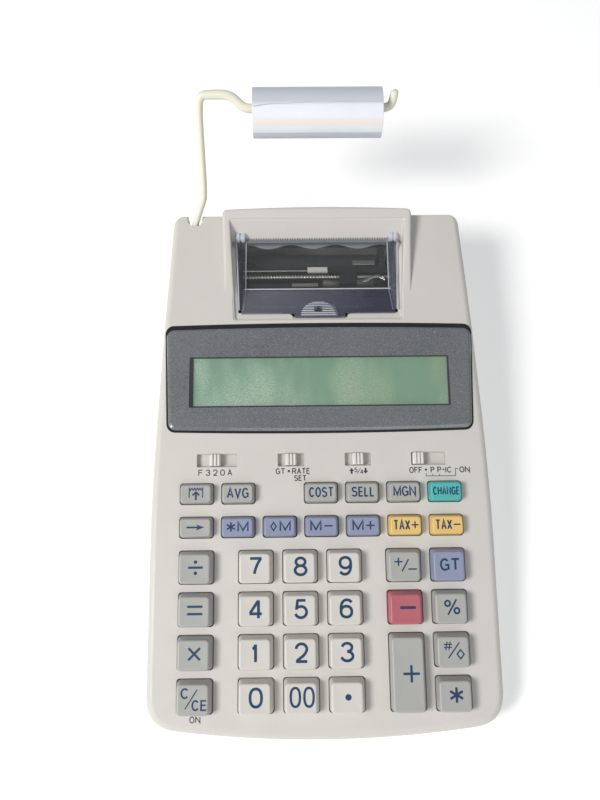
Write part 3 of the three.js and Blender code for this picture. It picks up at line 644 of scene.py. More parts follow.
# The hood's plan: its front edge, half widths, and how far its rear corners stand back from the middle
HOOD = {"front": 179, "half_front": 43.3, "half_rear": 44.4, "bow": 1.1, "corner": 2.8}
HOOD_FOLD = 191  # where the hood starts to rise out of the shoulders
HOOD_FOLD_HEIGHT = 41.4


def half_outline():
    """The right half of the case's plan, from the middle of the front to the middle of the rear."""
    corner_x = HALF_WIDTH - FRONT_CORNER
    steps = 12
    points = [(corner_x * i / steps, FRONT_BOW * (i / steps) ** 2) for i in range(steps)]
    points += quad_curve((corner_x, FRONT_BOW), (HALF_WIDTH, 5.5), (HALF_WIDTH, 18), 9)
    points += [(HALF_WIDTH, 18 + 14 * i) for i in range(4)]
    waist, half = WAIST["y"], WAIST["half"]
    points += quad_curve((HALF_WIDTH, 74), (HALF_WIDTH, 104), (half, waist), 8)
    taper = (half - REAR_HALF) / (LENGTH - waist)
    points += [(half - taper * (y - waist), y) for y in (waist, 156, DECK_END, DECK_END + 8, 205)]
    corner_start = (REAR_HALF + REAR_CORNER * taper, LENGTH - REAR_CORNER)
    inner = REAR_HALF - REAR_CORNER
    points += quad_curve(corner_start, (REAR_HALF, LENGTH), (inner, LENGTH), 6)
    points += [(inner * (1 - i / 4), LENGTH) for i in range(5)]
    return points


def deck_height(y):
    """Height of the case's top without its hood."""
    if y <= DECK_END:
        return DECK_FRONT + y * math.tan(SLOPE)
    (near, low), (far, high) = SHOULDER.items()
    if y <= near:
        start = deck_height(DECK_END)
        return start + (low - start) * (y - DECK_END) / (near - DECK_END)
    return low + (high - low) * (y - near) / (far - near)


def ladder_solid(half, levels, name, crisp_rear=0.0):
    """A solid with mirror symmetry. half is the right half of its plan, and levels are pairs of an
    inset and a function from y to height. Flat strips across join each right point to its mirror."""
    whole = half + [(-x, y) for x, y in reversed(half[1:-1])]
    build = Build()
    made = []
    for distance, height in levels:
        outline = inset(whole, distance) if distance else whole
        if crisp_rear:
            back = [min(max((y - LENGTH) / 5 + 1, 0), 1) for _, y in whole]
            outline = [(x, y + share * distance * crisp_rear) for (x, y), share in zip(outline, back)]
        made.append(build.ring([(x, y, height(y)) for x, y in outline]))
    build.skin(made)
    last = len(half) - 1
    total = len(whole)
    for ring, outward in ((made[0], False), (made[-1], True)):
        for i in range(last):
            corners = [ring[i], ring[i + 1], ring[(total - i - 1) % total], ring[(total - i) % total]]
            corners = list(dict.fromkeys(corners))
            build.face(tuple(corners if outward else reversed(corners)))
    return build.make(name, LOOK["case"])


def fillet_levels(low, top, radius, steps=5):
    """Levels of a wall that ends in a rounded edge under the height function top."""
    levels = [(0.0, lambda y: low)]
    for i in range(steps + 1):
        angle = math.pi / 2 * i / steps
        drop = radius * (1 - math.sin(angle))
        levels.append((radius * (1 - math.cos(angle)), lambda y, drop=drop: top(y) - drop))
    return levels


def hood_top(y):
    """Height of the hood: level with the shoulders up to the fold, then rising to the rear."""
    if y < HOOD_FOLD:
        return HOOD_FOLD_HEIGHT - (HOOD_FOLD - y) / 12
    rise = (HOOD_TOP - HOOD_FOLD_HEIGHT) / (LENGTH - 2 - HOOD_FOLD)
    return min(HOOD_FOLD_HEIGHT + (y - HOOD_FOLD) * rise, HOOD_TOP)


def hood_half():
    """The right half of the hood's plan, from the middle of the front to the middle of the rear."""
    near, front, rear, corner = HOOD["front"], HOOD["half_front"], HOOD["half_rear"], HOOD["corner"]
    bow = HOOD["bow"] - 0.05
    points = [(0, near), (front, near)]
    points += [(front + (rear - front) * (y - near) / 52, y) for y in (HOOD_FOLD, 205, 218)]
    end = LENGTH - HOOD["bow"]
    points += quad_curve((rear, end - corner), (rear, end), (rear - corner, LENGTH - bow), 6)
    points += [((rear - corner) * (1 - i / 5), LENGTH - bow * (1 - i / 5) ** 2) for i in range(6)]
    return points


KEY_NODES = [name for name in frame["nodes"] if name.startswith("key_") and name != "key_mat"]
# Middle and length of the slot that each switch slides in
SLOTS = {
    "slide_decimal": (-45.9, 17.6),
    "slide_total": (-13.2, 11.6),
    "slide_rounding": (16.4, 11.4),
    "slide_power": (47.7, 15.2),
}
SLOT_V = 116.3  # where the row of slots lies
SLOT_DEPTH = 5.6
KEY_GAP = 0.5  # how much wider a key's hole is than its cap
KEY_FLANGE = 0.8  # a key's hidden flange reaches this far past its cap
FLANGE_BOTTOM = -3.7  # the caps reach down almost to here
LARGE_TRIM = (0.7, 0.35)  # off the right side and off the front of a large keycap
SMALL_TRIM = 0.2  # off the depth of a small keycap
SMALL_SPREAD = 0.3  # how far a small keycap in the middle column stands to the left
LAST_COLUMN = 57  # x of the column where the small keycaps stand true
LARGE_RISE = 4.6  # only the large keys are taller than this


def is_large(rise):
    """Whether a key that stands this far out of the deck is a large one."""
    return rise > LARGE_RISE


def key_size(node):
    """Centre, width and depth of a keycap at the deck, and its height above it.

    The caps are a few tenths smaller than the plain CAD keys, and the small ones stand further left
    the further left they are.
    """
    low, high = node_box(node, DECK)
    middle = (low + high) / 2
    width, depth = high.x - low.x - 2 * KEY_FLANGE, high.y - low.y - 2 * KEY_FLANGE
    if is_large(high.z):
        right, front = LARGE_TRIM
        return middle.x - right / 2, middle.y + front / 2, width - right, depth - front, high.z
    spread = SMALL_SPREAD * (1 - middle.x / LAST_COLUMN)
    return middle.x - spread, middle.y, width, depth - SMALL_TRIM, high.z


def key_hole_cutters():
    """Holes with a small rounded lip, one for each key."""
    build = Build(DECK)
    for node in KEY_NODES:
        x, v, width, depth, _ = key_size(node)
        outline = rounded_rect(width + KEY_GAP, depth + KEY_GAP, 1.3, 4, x, v)
        build.stack(outline, [(0, -6), (0, -0.45), (-0.1, -0.13), (-0.42, 0.02), (-0.42, 3)])
    return build


def slot_cutters():
    """Openings for the slide switches, with a softened edge."""
    build = Build(DECK)
    for x, length in SLOTS.values():
        outline = rounded_rect(length, SLOT_DEPTH, 0.4, 3, x, SLOT_V)
        build.stack(outline, [(0, -6), (0, -0.35), (-0.25, 0), (-0.25, 3)])
    return build


LENS_LOW, LENS_HIGH = node_box("display_lens", DECK)
LENS_BOW = 0.9
LENS_TAPER = 1.5  # it is narrower at the front by this much on each side


def lens_outline(shrink=0.0, rear_shrink=None):
    """The lens's plan on the deck, counter-clockwise, with slightly bowed long edges."""
    rear_shrink = shrink if rear_shrink is None else rear_shrink
    front, rear = LENS_LOW.y + LENS_BOW + shrink, LENS_HIGH.y - LENS_BOW - rear_shrink
    radius = 3.6 - shrink * 0.6
    points = []
    for sx, sy, quarter in ((1, 1, 0), (-1, 1, 1), (-1, -1, 2), (1, -1, 3)):
        edge = rear if sy > 0 else front
        half = LENS_HIGH.x - shrink - (LENS_TAPER if sy < 0 else 0)
        cx, cy = sx * (half - radius), edge - sy * radius
        for step in range(6):
            angle = math.pi / 2 * (quarter + step / 5)
            points.append((cx + radius * math.cos(angle), cy + radius * math.sin(angle)))
        if quarter in (0, 2):
            for i in range(1, 12):
                x = cx * (1 - 2 * i / 12)
                points.append((x, edge + sy * LENS_BOW * (1 - (x / cx) ** 2)))
    return points


def deck_rings(levels, outline):
    """Rings of outline(*shrinks) at each height, from rows of shrinks and a height."""
    return [[(x, v, row[-1]) for x, v in outline(*row[:-1])] for row in levels]


def lens_pocket_cutter():
    """The sunken bed of the lens and of the black ring round it."""
    build = Build(DECK)
    levels = [(-0.45, -1.4), (-0.45, -0.1), (-0.75, 0.15), (-0.75, 6)]
    build.loft(deck_rings(levels, lens_outline))
    return build


WINDOW = {"half": 58.6, "front": 139.8, "rear": 163.1}


def window_outline(grow):
    """The plan of the window in the lens, grown on every side."""
    depth = WINDOW["rear"] - WINDOW["front"]
    middle = (WINDOW["rear"] + WINDOW["front"]) / 2
    return rounded_rect(2 * (WINDOW["half"] + grow), depth + 2 * grow, 0.7 + grow, 3, 0, middle)


def window_cutter(grow):
    """What opens the window, through the lens and the case under it."""
    build = Build(DECK)
    build.prism(window_outline(grow), -8, 8)
    return build


def well_plan(shrink, y_rear):
    """The plan of the well, counter-clockwise, with stations along its sides."""
    front, rear = WELL["half_front"] - shrink, WELL["half_rear"] - shrink
    y_front = WELL["front"] + shrink
    spread = (rear - front) / (WELL["rear"] - WELL["front"])
    radius = 1.2  # of its corners

    def half(y):
        return front + (y - y_front) * spread

    right = quad_curve((front - radius, y_front), (front, y_front), (front, y_front + radius), 4)
    right += [(half(y), y) for y in (y_front + radius, HOOD_FOLD, 203, 214, y_rear - radius)]
    far = half(y_rear)
    end = (far - radius, y_rear)
    right += quad_curve((far, y_rear - radius), (far, y_rear), end, 4) + [end]
    return right + [(-x, y) for x, y in reversed(right)]


def ledge_height(y):
    """Height of the narrow inner ledge of the printer well, which rises to a crest and then falls."""
    along, crest = y - WELL["front"], 34
    return 39.3 + min(along, crest) * 0.086 - max(along - crest, 0) * 0.22


def well_cutter():
    """The printer well: a rounded rim, a narrow ledge, and a paper guide that slopes down behind."""
    build = Build()
    top, slope_foot = WELL["rear"], WELL["rear"] - 6.2
    levels = []
    for shrink, height, rear in (
        (-1.0, lambda y: 60.0, top + 1),
        (-1.0, lambda y: hood_top(y) + 0.02, top + 1),
        (-0.3, lambda y: hood_top(y) - 0.3, top + 1),
        (0.0, lambda y: hood_top(y) - 1.0, top),
        (0.0, ledge_height, slope_foot),
        (1.4, lambda y: ledge_height(y) - 0.5, slope_foot),
        (1.4, lambda y: 20.0, slope_foot),
    ):
        outline = well_plan(shrink, rear)
        levels.append([(x, y, height(y)) for x, y in outline])
    build.loft(list(reversed(levels)))
    return build


def upper_case():
    """The shell with its hood: everything that opens it is cut out in turn."""
    outer = ladder_solid(half_outline(), fillet_levels(PARTING, deck_height, 3.2), "upper_case_shell", 0.65)
    hood = ladder_solid(hood_half(), fillet_levels(PARTING, hood_top, 1.4, 4), "hood")
    combine(outer, hood, "UNION")
    levels = [(WALL, lambda y: PARTING - 2), (WALL, lambda y: deck_height(y) - WALL)]
    combine(outer, ladder_solid(half_outline(), levels, "hollow"))
    cutters = [lens_pocket_cutter(), window_cutter(0.5), well_cutter(), key_hole_cutters(), slot_cutters()]
    for cutter in [*cutters, arm_notch_cutter(), rear_cutters()]:
        combine(outer, cutter)
    combine(outer, lip_ledges(), "UNION")
    return place(finish_solid(outer), slot="case", replaces=["upper_case"])


def lip_ledges():
    """Two strips at the front of the well, round-ended towards the finger gap, and its rear corners."""
    build = Build()
    for outer_x, inner_x in ((-37.4, -11.5), (37.6, 13)):
        side = 1 if inner_x > outer_x else -1
        plan = [(outer_x, 178.9), (outer_x, 183.6), (inner_x - 6 * side, 183.6)]
        plan += quad_curve((inner_x - 2.6 * side, 183.0), (inner_x, 182.9), (inner_x, 180.6), 6)
        plan += [(inner_x, 180.2), (inner_x, 178.9)]
        build.prism(plan if side < 0 else plan[::-1], 37, 39.35, 0.3)
        corner = sorted((38.2 * side, 41 * side))
        build.box((corner[0], 204, 30), (corner[1], 221, 40.4), 0.2)
    return build


def arm_notch_cutter():
    """The rounded slot at the rear left that the paper arm swings in."""
    x, half, bottom = -57.85, 3.35, 30.5
    build = Build()
    rings = []
    for grow, z in ((0, bottom), (0, 38), (0, 43.6), (0.6, 44.7), (0.6, 60)):
        reach = half + grow
        front = 227.6 + (min(max(z, 38), 44.7) - 44.4) * 0.85 - grow
        plan = [(x + reach, LENGTH + 4), (x - reach, LENGTH + 4)]
        for i in range(13):
            angle = math.pi * i / 12
            plan.append((x - reach * math.cos(angle), front + half * (1 - math.sin(angle))))
        rings.append([(px, py, z) for px, py in plan])
    build.loft(rings)
    return build


def rear_cutters():
    """The paper inlet under the hood and the hole for the power socket."""
    build = Build()
    flare = ((222, 0), (230.6, 0), (231.5, 0.8), (236, 0.8))
    build.loft([rounded_slot(y, 31.5 + grow, 28.1, 3.1 + grow) for y, grow in flare])
    jack = middle_of("dc_jack")
    build.lathe_y([(226, 4.2), (230.4, 4.2), (231.2, 5.0), (236, 5.0)], jack.x, jack.z)
    return build


def rounded_slot(y, half_width, z, half_height):
    """A slot's outline in x and z at one y, counter-clockwise seen from the rear."""
    return [(x, y, z - b) for x, b in rounded_rect(2 * half_width, 2 * half_height, 1.2, 4)]


# ---- Lower case, battery cover, feet and screws -------------------------------------------------
FOOT_HEIGHT = 1.5
FEET = [(side * 60, y) for side in (-1, 1) for y in (16, 214)]
SCREWS = [(side * x, y) for side in (-1, 1) for x, y in ((69.2, 27), (61, 190))]


def lower_case():
    """The tray, with a rounded bottom edge, screw wells, a battery track and rows of cooling slots."""
    top = PARTING - 0.3
    levels = [(2.4, lambda y: FOOT_HEIGHT), (1.2, lambda y: FOOT_HEIGHT + 0.35)]
    levels += [(0.4, lambda y: FOOT_HEIGHT + 1.1), (0.0, lambda y: FOOT_HEIGHT + 2.4)]
    levels += [(0.0, lambda y: top - 0.3), (0.3, lambda y: top)]
    tray = ladder_solid(half_outline(), levels, "lower_case_shell")
    hollow = ladder_solid(
        half_outline(), [(WALL, lambda y: FOOT_HEIGHT + WALL), (WALL, lambda y: top + 2)], "tray_hollow"
    )
    combine(tray, hollow)
    posts = Build()
    for x, y in SCREWS:
        posts.prism(circle(3.6, 24, x, y), FOOT_HEIGHT + 1, top - 0.2)
    for x in (-54, -49.2):
        posts.box((x - 1, 218, FOOT_HEIGHT + 1), (x + 1, 226, 38), 0.4)
    combine(tray, posts, "UNION")
    low, high = node_box("battery_cover", BODY)
    bay = Build()
    bay.box((low.x - 1.6, low.y - 10, FOOT_HEIGHT + 0.5), (high.x + 1.6, high.y + 1.6, 19.5))
    combine(tray, bay, "UNION")
    cuts = Build()
    cuts.box((low.x - 0.25, low.y - 0.25, 3.0), (high.x + 0.25, high.y + 0.25, 18.5))
    combine(tray, cuts)
    cuts = Build()
    outline = rounded_rect(high.x - low.x + 0.5, high.y - low.y + 8.3, 1.0, 3, 0, (low.y + high.y) / 2 - 4)
    cuts.prism(outline, -1, 3.8)
    combine(tray, cuts)
    cuts = Build()
    for x, y in SCREWS:
        cuts.lathe_z([(-1, 3.5), (1.5, 3.3), (5.2, 3.1)], x, y, 24)
    for x, y in FEET:
        cuts.prism(circle(6.1, 32, x, y), -1, FOOT_HEIGHT + 0.6)
    for i in range(9):
        for y in (176, 196):
            cuts.prism(rounded_rect(1.6, 14, 0.8, 4, (i - 4) * 4.5, y), -1, 8)
    combine(tray, cuts)
    tray.data.materials[0] = LOOK["base"]
    return place(finish_solid(tray), slot="base", replaces=["lower_case"])


def battery_cover():
    """The sliding battery cover, with a scooped grip and ribs to push on."""
    low, high = node_box("battery_cover", BODY)
    middle = (low + high) / 2
    size = high - low
    cover = Build()
    outline = rounded_rect(size.x - 0.1, size.y - 0.1, 1.0, 4, middle.x, middle.y)
    cover.stack(outline, [(0.5, low.z), (0, low.z + 0.5), (0, high.z)])
    cover = cover.make("battery_cover_panel", LOOK["base"])
    scoop = Build()
    oval = rounded_rect(22, 11, 5.4, 8, middle.x, low.y + 9)
    scoop.stack(oval, [(0, -1), (0, low.z - 0.01), (1.6, low.z + 0.9)])
    combine(cover, scoop)
    ribs = Build()
    for i in range(5):
        y = low.y + 6.2 + 1.4 * i
        ribs.prism(rounded_rect(13, 0.6, 0.28, 3, middle.x, y), low.z + 0.25, low.z + 1.2)
    combine(cover, ribs, "UNION")
    place(finish_solid(cover), "battery_cover", "base", ["battery_cover"])


def rubber_feet():
    """A round pad under each foot."""
    for number, (x, y) in enumerate(FEET):
        build = Build()
        build.lathe_z([(0.02, 4.9), (0.02, 5.3), (0.35, 5.75), (2.0, 5.75), (2.0, 5.0)], x, y, 40)
        build.piece(f"rubber_foot_{number}", "foot_rubber", slot="silicone")


def case_screws():
    """Pan-head screws with a cross recess, deep in their wells."""
    for number, (x, y) in enumerate(SCREWS):
        head = Build()
        head.lathe_z([(4.4, 2.2), (4.55, 2.5), (5.6, 2.6), (6.0, 1.2), (12, 1.2)], x, y, 28)
        head = head.make(f"case_screw_{number}", LOOK["steel"])
        for open_size, deep_size in (((0.6, 2.9), (0.4, 1.6)), ((2.9, 0.6), (1.6, 0.4))):
            arm = Build()
            arm.loft([rounded_rect_at(*open_size, x, y, 4), rounded_rect_at(*deep_size, x, y, 5.2)])
            combine(head, arm)
        place(head, slot="bright_steel")


def rounded_rect_at(width, depth, x, y, z):
    """A level ring for a screw's cross."""
    return [(px, py, z) for px, py in rounded_rect(width, depth, 0.12, 2, x, y)]


def batteries():
    """Four cells side by side in the bay, every other one the other way round."""
    low = node_box("battery_cover", BODY)[0]
    y, bay_length, pitch = low.y + 1.4, 50, 15.1
    profile = [(0, 2.4), (0.9, 2.6), (1.0, 6.4), (1.4, 6.9), (46.8, 6.9), (47.3, 6.5)]
    profile += [(47.4, 2.7), (48.4, 2.6), (48.5, 2.0)]
    for i in range(4):
        cell = Build()
        turned = [(y + along if i % 2 else y + bay_length - along, radius) for along, radius in profile]
        cell.lathe_y(sorted(turned), low.x + 8 + pitch * i, 11.4, 28)
        cell.piece(f"battery_{i}", "cell", slot="bright_steel")


# ---- Keys ---------------------------------------------------------------------------------------
DISH = 0.22  # how far the middle of a key is sunk
# By whether the key is large: how much smaller its top is than its foot, how far the top leans to the
# left and towards the user, where the legend lies from the middle of the top, and the edge's radius
TOP_DRAFT = {True: (1.5, 1.35), False: (1.3, 1.3)}
TOP_SHIFT = {True: (-0.3, -0.675), False: (-0.1, -0.28)}
SIGN_SHIFT = {True: (0.45, 0.6), False: (0.1, 0.15)}
KEY_EDGE = {True: 0.75, False: 0.5}


def key_top(node):
    """Centre, width and depth of a keycap's top, and its height above the deck."""
    x, v, width, depth, rise = key_size(node)
    draft, lean = TOP_DRAFT[is_large(rise)], TOP_SHIFT[is_large(rise)]
    return x + lean[0], v + lean[1], width - draft[0], depth - draft[1], rise


def key_surface(node):
    """Height of the dished top of a key at a point of the deck."""
    x, v, width, depth, rise = key_top(node)
    edge = KEY_EDGE[is_large(rise)]
    half_x, half_v = width / 2 - edge, depth / 2 - edge

    def height(px, pv):
        out = max(abs(px - x) / half_x, abs(pv - v) / half_v)
        return rise - DISH * (1 - min(out, 1) ** 2)

    return height


def keycap(node, look):
    """A drafted cap with rounded edges and a slightly dished top."""
    x, v, width, depth, rise = key_size(node)
    tx, tv, top_width, top_depth, _ = key_top(node)
    edge = KEY_EDGE[is_large(rise)]
    build = Build(DECK)
    foot = rounded_rect(width, depth, 1.5, 5, x, v)
    rings = [[(px, py, h) for px, py in foot] for h in (FLANGE_BOTTOM + 0.3, 0.2)]
    for i in range(5):
        angle = math.pi / 2 * i / 4
        grow = 2 * edge * math.cos(angle)
        size = (top_width - 2 * edge + grow + 0.02, top_depth - 2 * edge + grow + 0.02)
        drop = edge * (1 - math.sin(angle))
        ring = rounded_rect(size[0], size[1], 0.95 + grow / 2, 5, tx, tv)
        rings.append([(px, py, rise - drop) for px, py in ring])
    inner = (top_width - 2 * edge, top_depth - 2 * edge)
    for share in (0.96, 0.85, 0.6, 0.3):
        ring = rounded_rect(inner[0] * share, inner[1] * share, 0.95 * share, 5, tx, tv)
        rings.append([(px, py, rise - DISH * (1 - share**2)) for px, py in ring])
    build.loft(rings)
    build.piece(f"{node}_cap", look, node, look, [node], 40)


def stroke(path, width, closed=False):
    """A line of even width as a solid: its points are (x, v, is it the top)."""
    count = len(path)
    left, right = [], []
    for i, (x, v) in enumerate(path):
        before = path[i - 1] if closed or i else path[i]
        after = path[(i + 1) % count] if closed or i + 1 < count else path[i]
        ahead = Vector((after[0] - x, after[1] - v))
        behind = Vector((x - before[0], v - before[1]))
        ahead = ahead.normalized() if ahead.length else behind.normalized()
        behind = behind.normalized() if behind.length else ahead
        normal = Vector((-(ahead.y + behind.y), ahead.x + behind.x)).normalized()
        reach = width / 2 / max(normal.dot(Vector((-ahead.y, ahead.x))), 0.35)
        left.append((x + normal.x * reach, v + normal.y * reach))
        right.append((x - normal.x * reach, v - normal.y * reach))
    points = [(*p, top) for top in (True, False) for side in (left, right) for p in side]
    faces = []
    for i in range(count if closed else count - 1):
        j = (i + 1) % count
        a, b, c, d = i, j, count + j, count + i
        faces += [(a, d, c, b), (a + 2 * count, b + 2 * count, c + 2 * count, d + 2 * count)]
        faces += [(a, b, b + 2 * count, a + 2 * count), (c, d, d + 2 * count, c + 2 * count)]
    if not closed:
        for i in (0, count - 1):
            faces.append((i, count + i, 3 * count + i, 2 * count + i))
    return points, faces


def polygon(outline):
    """A flat shape with a counter-clockwise outline, as a solid like a stroke."""
    count = len(outline)
    points = [(*p, top) for top in (True, False) for p in outline]
    faces = [tuple(range(count)), tuple(reversed(range(count, 2 * count)))]
    faces += [(i, i + count, (i + 1) % count + count, (i + 1) % count) for i in range(count)]
    return points, faces


def disc(x, v, radius):
    """A round dot."""
    return polygon(circle(radius, 20, x, v))


def legend(name, body, pieces, surface, ink):
    """One object from several strokes, laid on surface, a function from a deck point to a height."""
    build = Build(DECK)
    for number, (points, faces) in enumerate(pieces):
        lift = 0.035 + 0.002 * number
        ring = build.ring([(x, v, surface(x, v) + (lift if top else -0.12)) for x, v, top in points])
        for corners in faces:
            build.face(tuple(ring[i] for i in corners))
    build.piece(name, ink, body, smooth=0)


def star(x, v, radius, width, arms, start):
    """Strokes that cross in one point, the first of them at start degrees."""
    out = []
    for i in range(arms // 2):
        angle = math.radians(start + 360 * i / arms)
        dx, dv = radius * math.cos(angle), radius * math.sin(angle)
        out.append(stroke([(x - dx, v - dv), (x + dx, v + dv)], width))
    return out


def diamond(x, v, width, height, line):
    """The outline of a diamond."""
    corners = [(x, v + height / 2), (x - width / 2, v), (x, v - height / 2), (x + width / 2, v)]
    return stroke(corners, line, True)


def plus(x, v, size, line):
    """A plus sign."""
    half = size / 2
    return [stroke([(x - half, v), (x + half, v)], line), stroke([(x, v - half), (x, v + half)], line)]


def dash(x, v, length, line):
    """A level stroke."""
    return [stroke([(x - length / 2, v), (x + length / 2, v)], line)]


def feed_sign(x, v):
    """A sheet of paper with a torn top edge and an arrow that pushes it up."""
    zigzag = [(x - 2.9, v - 1.8), (x - 2.9, v + 2.3)]
    zigzag += [(x - 2.9 + 0.58 * i, v + (2.3 if i % 2 == 0 else 1.4)) for i in range(1, 10)]
    zigzag += [(x + 2.9, v + 2.3), (x + 2.9, v - 1.8)]
    arrow = [stroke([(x, v - 2.9), (x, v + 0.4)], 0.75)]
    head = stroke([(x - 1.5, v - 0.8), (x, v + 0.6), (x + 1.5, v - 0.8)], 0.75)
    return [stroke(zigzag, 0.48), *arrow, head]


def arrow_right(x, v, length):
    """An arrow with a swept-back head."""
    tip = x + length / 2
    line = stroke([(x - length / 2, v), (tip - 2.4, v)], 0.75)
    head = polygon([(tip, v), (tip - 3.6, v + 1.25), (tip - 2.7, v), (tip - 3.6, v - 1.25)])
    return [line, head]


def arc(cx, cy, rx, ry, start, end, steps=16, squareness=1.0):
    """Points of an elliptical arc between two angles in degrees; a squareness under 1 fills its corners."""

    def bulge(value):
        return math.copysign(abs(value) ** squareness, value)

    angles = [math.radians(start + (end - start) * i / steps) for i in range(steps + 1)]
    return [(cx + rx * bulge(math.cos(angle)), cy + ry * bulge(math.sin(angle))) for angle in angles]


ZERO = arc(0.5, 0.5, 0.5, 0.5, 0, 345, 23, 0.86)
SIX = [
    (arc(0.5, 0.315, 0.48, 0.315, 0, 340, 17, 0.92), True),
    (arc(0.56, 0.5, 0.54, 0.5, 42, 196, 14, 0.92), False),
]
# The lines of each digit in a square from (0, 0) to (1, 1), and whether each one closes on itself
DIGITS = {
    "0": [(ZERO, True)],
    "1": [([(0.6, 0), (0.6, 1)], False), (quad_curve((0.57, 0.98), (0.5, 0.76), (0.02, 0.74), 6), False)],
    "2": [
        (
            arc(0.49, 0.7, 0.47, 0.3, 178, -30, 14)
            + quad_curve((0.86, 0.5), (0.72, 0.34), (0.4, 0.2), 5)
            + quad_curve((0.4, 0.2), (0.1, 0.06), (0.03, 0.0), 4),
            False,
        ),
        ([(0, 0), (0.98, 0)], False),
    ],
    "3": [
        (arc(0.48, 0.765, 0.43, 0.235, 172, -90, 14), False),
        (arc(0.48, 0.265, 0.5, 0.265, 90, -170, 16), False),
    ],
    "4": [
        ([(0.74, 0), (0.74, 1.04)], False),
        ([(0.7, 1), (0.0, 0.3)], False),
        ([(-0.06, 0.26), (1.04, 0.26)], False),
    ],
    "5": [
        ([(0.9, 1), (0.16, 1)], False),
        ([(0.2, 1.04), (0.08, 0.46)], False),
        (arc(0.48, 0.325, 0.51, 0.325, 142, -162, 16), False),
    ],
    "6": SIX,
    "7": [([(0, 1), (1.02, 1)], False), (quad_curve((0.97, 1), (0.46, 0.56), (0.34, -0.06), 8), False)],
    "8": [
        (arc(0.5, 0.765, 0.42, 0.235, 0, 340, 17), True),
        (arc(0.5, 0.27, 0.5, 0.27, 0, 340, 17), True),
    ],
    "9": [([(1 - x, 1 - y) for x, y in line], closed) for line, closed in SIX],
}

# Letters in the same square
BOWL = arc(0.58, 0.75, 0.4, 0.25, 90, -90, 8)
LETTERS = {
    "A": [([(0, 0), (0.5, 1), (1, 0)], False), ([(0.17, 0.33), (0.83, 0.33)], False)],
    "C": [(arc(0.5, 0.5, 0.5, 0.5, 40, 320, 18), False)],
    "E": [([(1, 0), (0, 0), (0, 1), (0.97, 1)], False), ([(0, 0.52), (0.9, 0.52)], False)],
    "F": [([(0, 0), (0, 1), (1, 1)], False), ([(0, 0.52), (0.85, 0.52)], False)],
    "G": [(arc(0.5, 0.5, 0.5, 0.5, 38, 310, 18), False), ([(0.56, 0.46), (0.98, 0.46), (0.98, 0.02)], False)],
    "H": [([(0, 0), (0, 1)], False), ([(1, 0), (1, 1)], False), ([(0, 0.52), (1, 0.52)], False)],
    "I": [([(0.5, 0), (0.5, 1)], False)],
    "L": [([(0, 1), (0, 0), (1, 0)], False)],
    "M": [([(0, 0), (0, 1), (0.5, 0.1), (1, 1), (1, 0)], False)],
    "N": [([(0, 0), (0, 1), (1, 0), (1, 1)], False)],
    "O": [(arc(0.5, 0.5, 0.5, 0.5, 0, 345, 23), True)],
    "P": [([(0, 0), (0, 1), *BOWL, (0, 0.5)], False)],
    "R": [([(0, 0), (0, 1), *BOWL, (0, 0.5)], False), ([(0.56, 0.5), (1, 0)], False)],
    "S": [(arc(0.5, 0.76, 0.46, 0.24, 25, 262, 12) + arc(0.5, 0.26, 0.5, 0.26, 82, -155, 12), False)],
    "T": [([(0, 1), (1, 1)], False), ([(0.5, 1), (0.5, 0)], False)],
    "V": [([(0, 1), (0.5, 0), (1, 1)], False)],
    "X": [([(0, 0), (1, 1)], False), ([(0, 1), (1, 0)], False)],
}
# Widths of the letters that are not 1 wide, and the gap between letters
BROAD = {"I": 0.3, "M": 1.15, "E": 0.85, "F": 0.85, "L": 0.8, "P": 0.9}
LETTER_GAP = 0.11


def digit(character, x, v, width=5.9, height=8.2, line=1.17):
    """The strokes of one digit or letter, width by height overall, centred on (x, v)."""
    across, up = width - line, height - line
    out = []
    for path, closed in (DIGITS | LETTERS)[character]:
        points = [(x + (px - 0.5) * across, v + (py - 0.5) * up) for px, py in path]
        out.append(stroke(points, line, closed))
    return out


def word(text, height, width, x, v, line=0.6):
    """The strokes of a word, width by height overall, centred on (x, v)."""
    shares = [BROAD.get(character, 1) for character in text]
    unit = width / (sum(shares) + LETTER_GAP * (len(text) - 1))
    left = x - width / 2
    out = []
    for character, share in zip(text, shares):
        out += digit(character, left + share * unit / 2, v, share * unit, height, line)
        left += (share + LETTER_GAP) * unit
    return out


def memory(x, v):
    """The M of the memory keys."""
    return word("M", 4.4, 4.8, x, v, 0.68)


def tax(x, v):
    """The word on the two tax keys."""
    return word("TAX", 4.4, 7.2, x, v, 0.66)


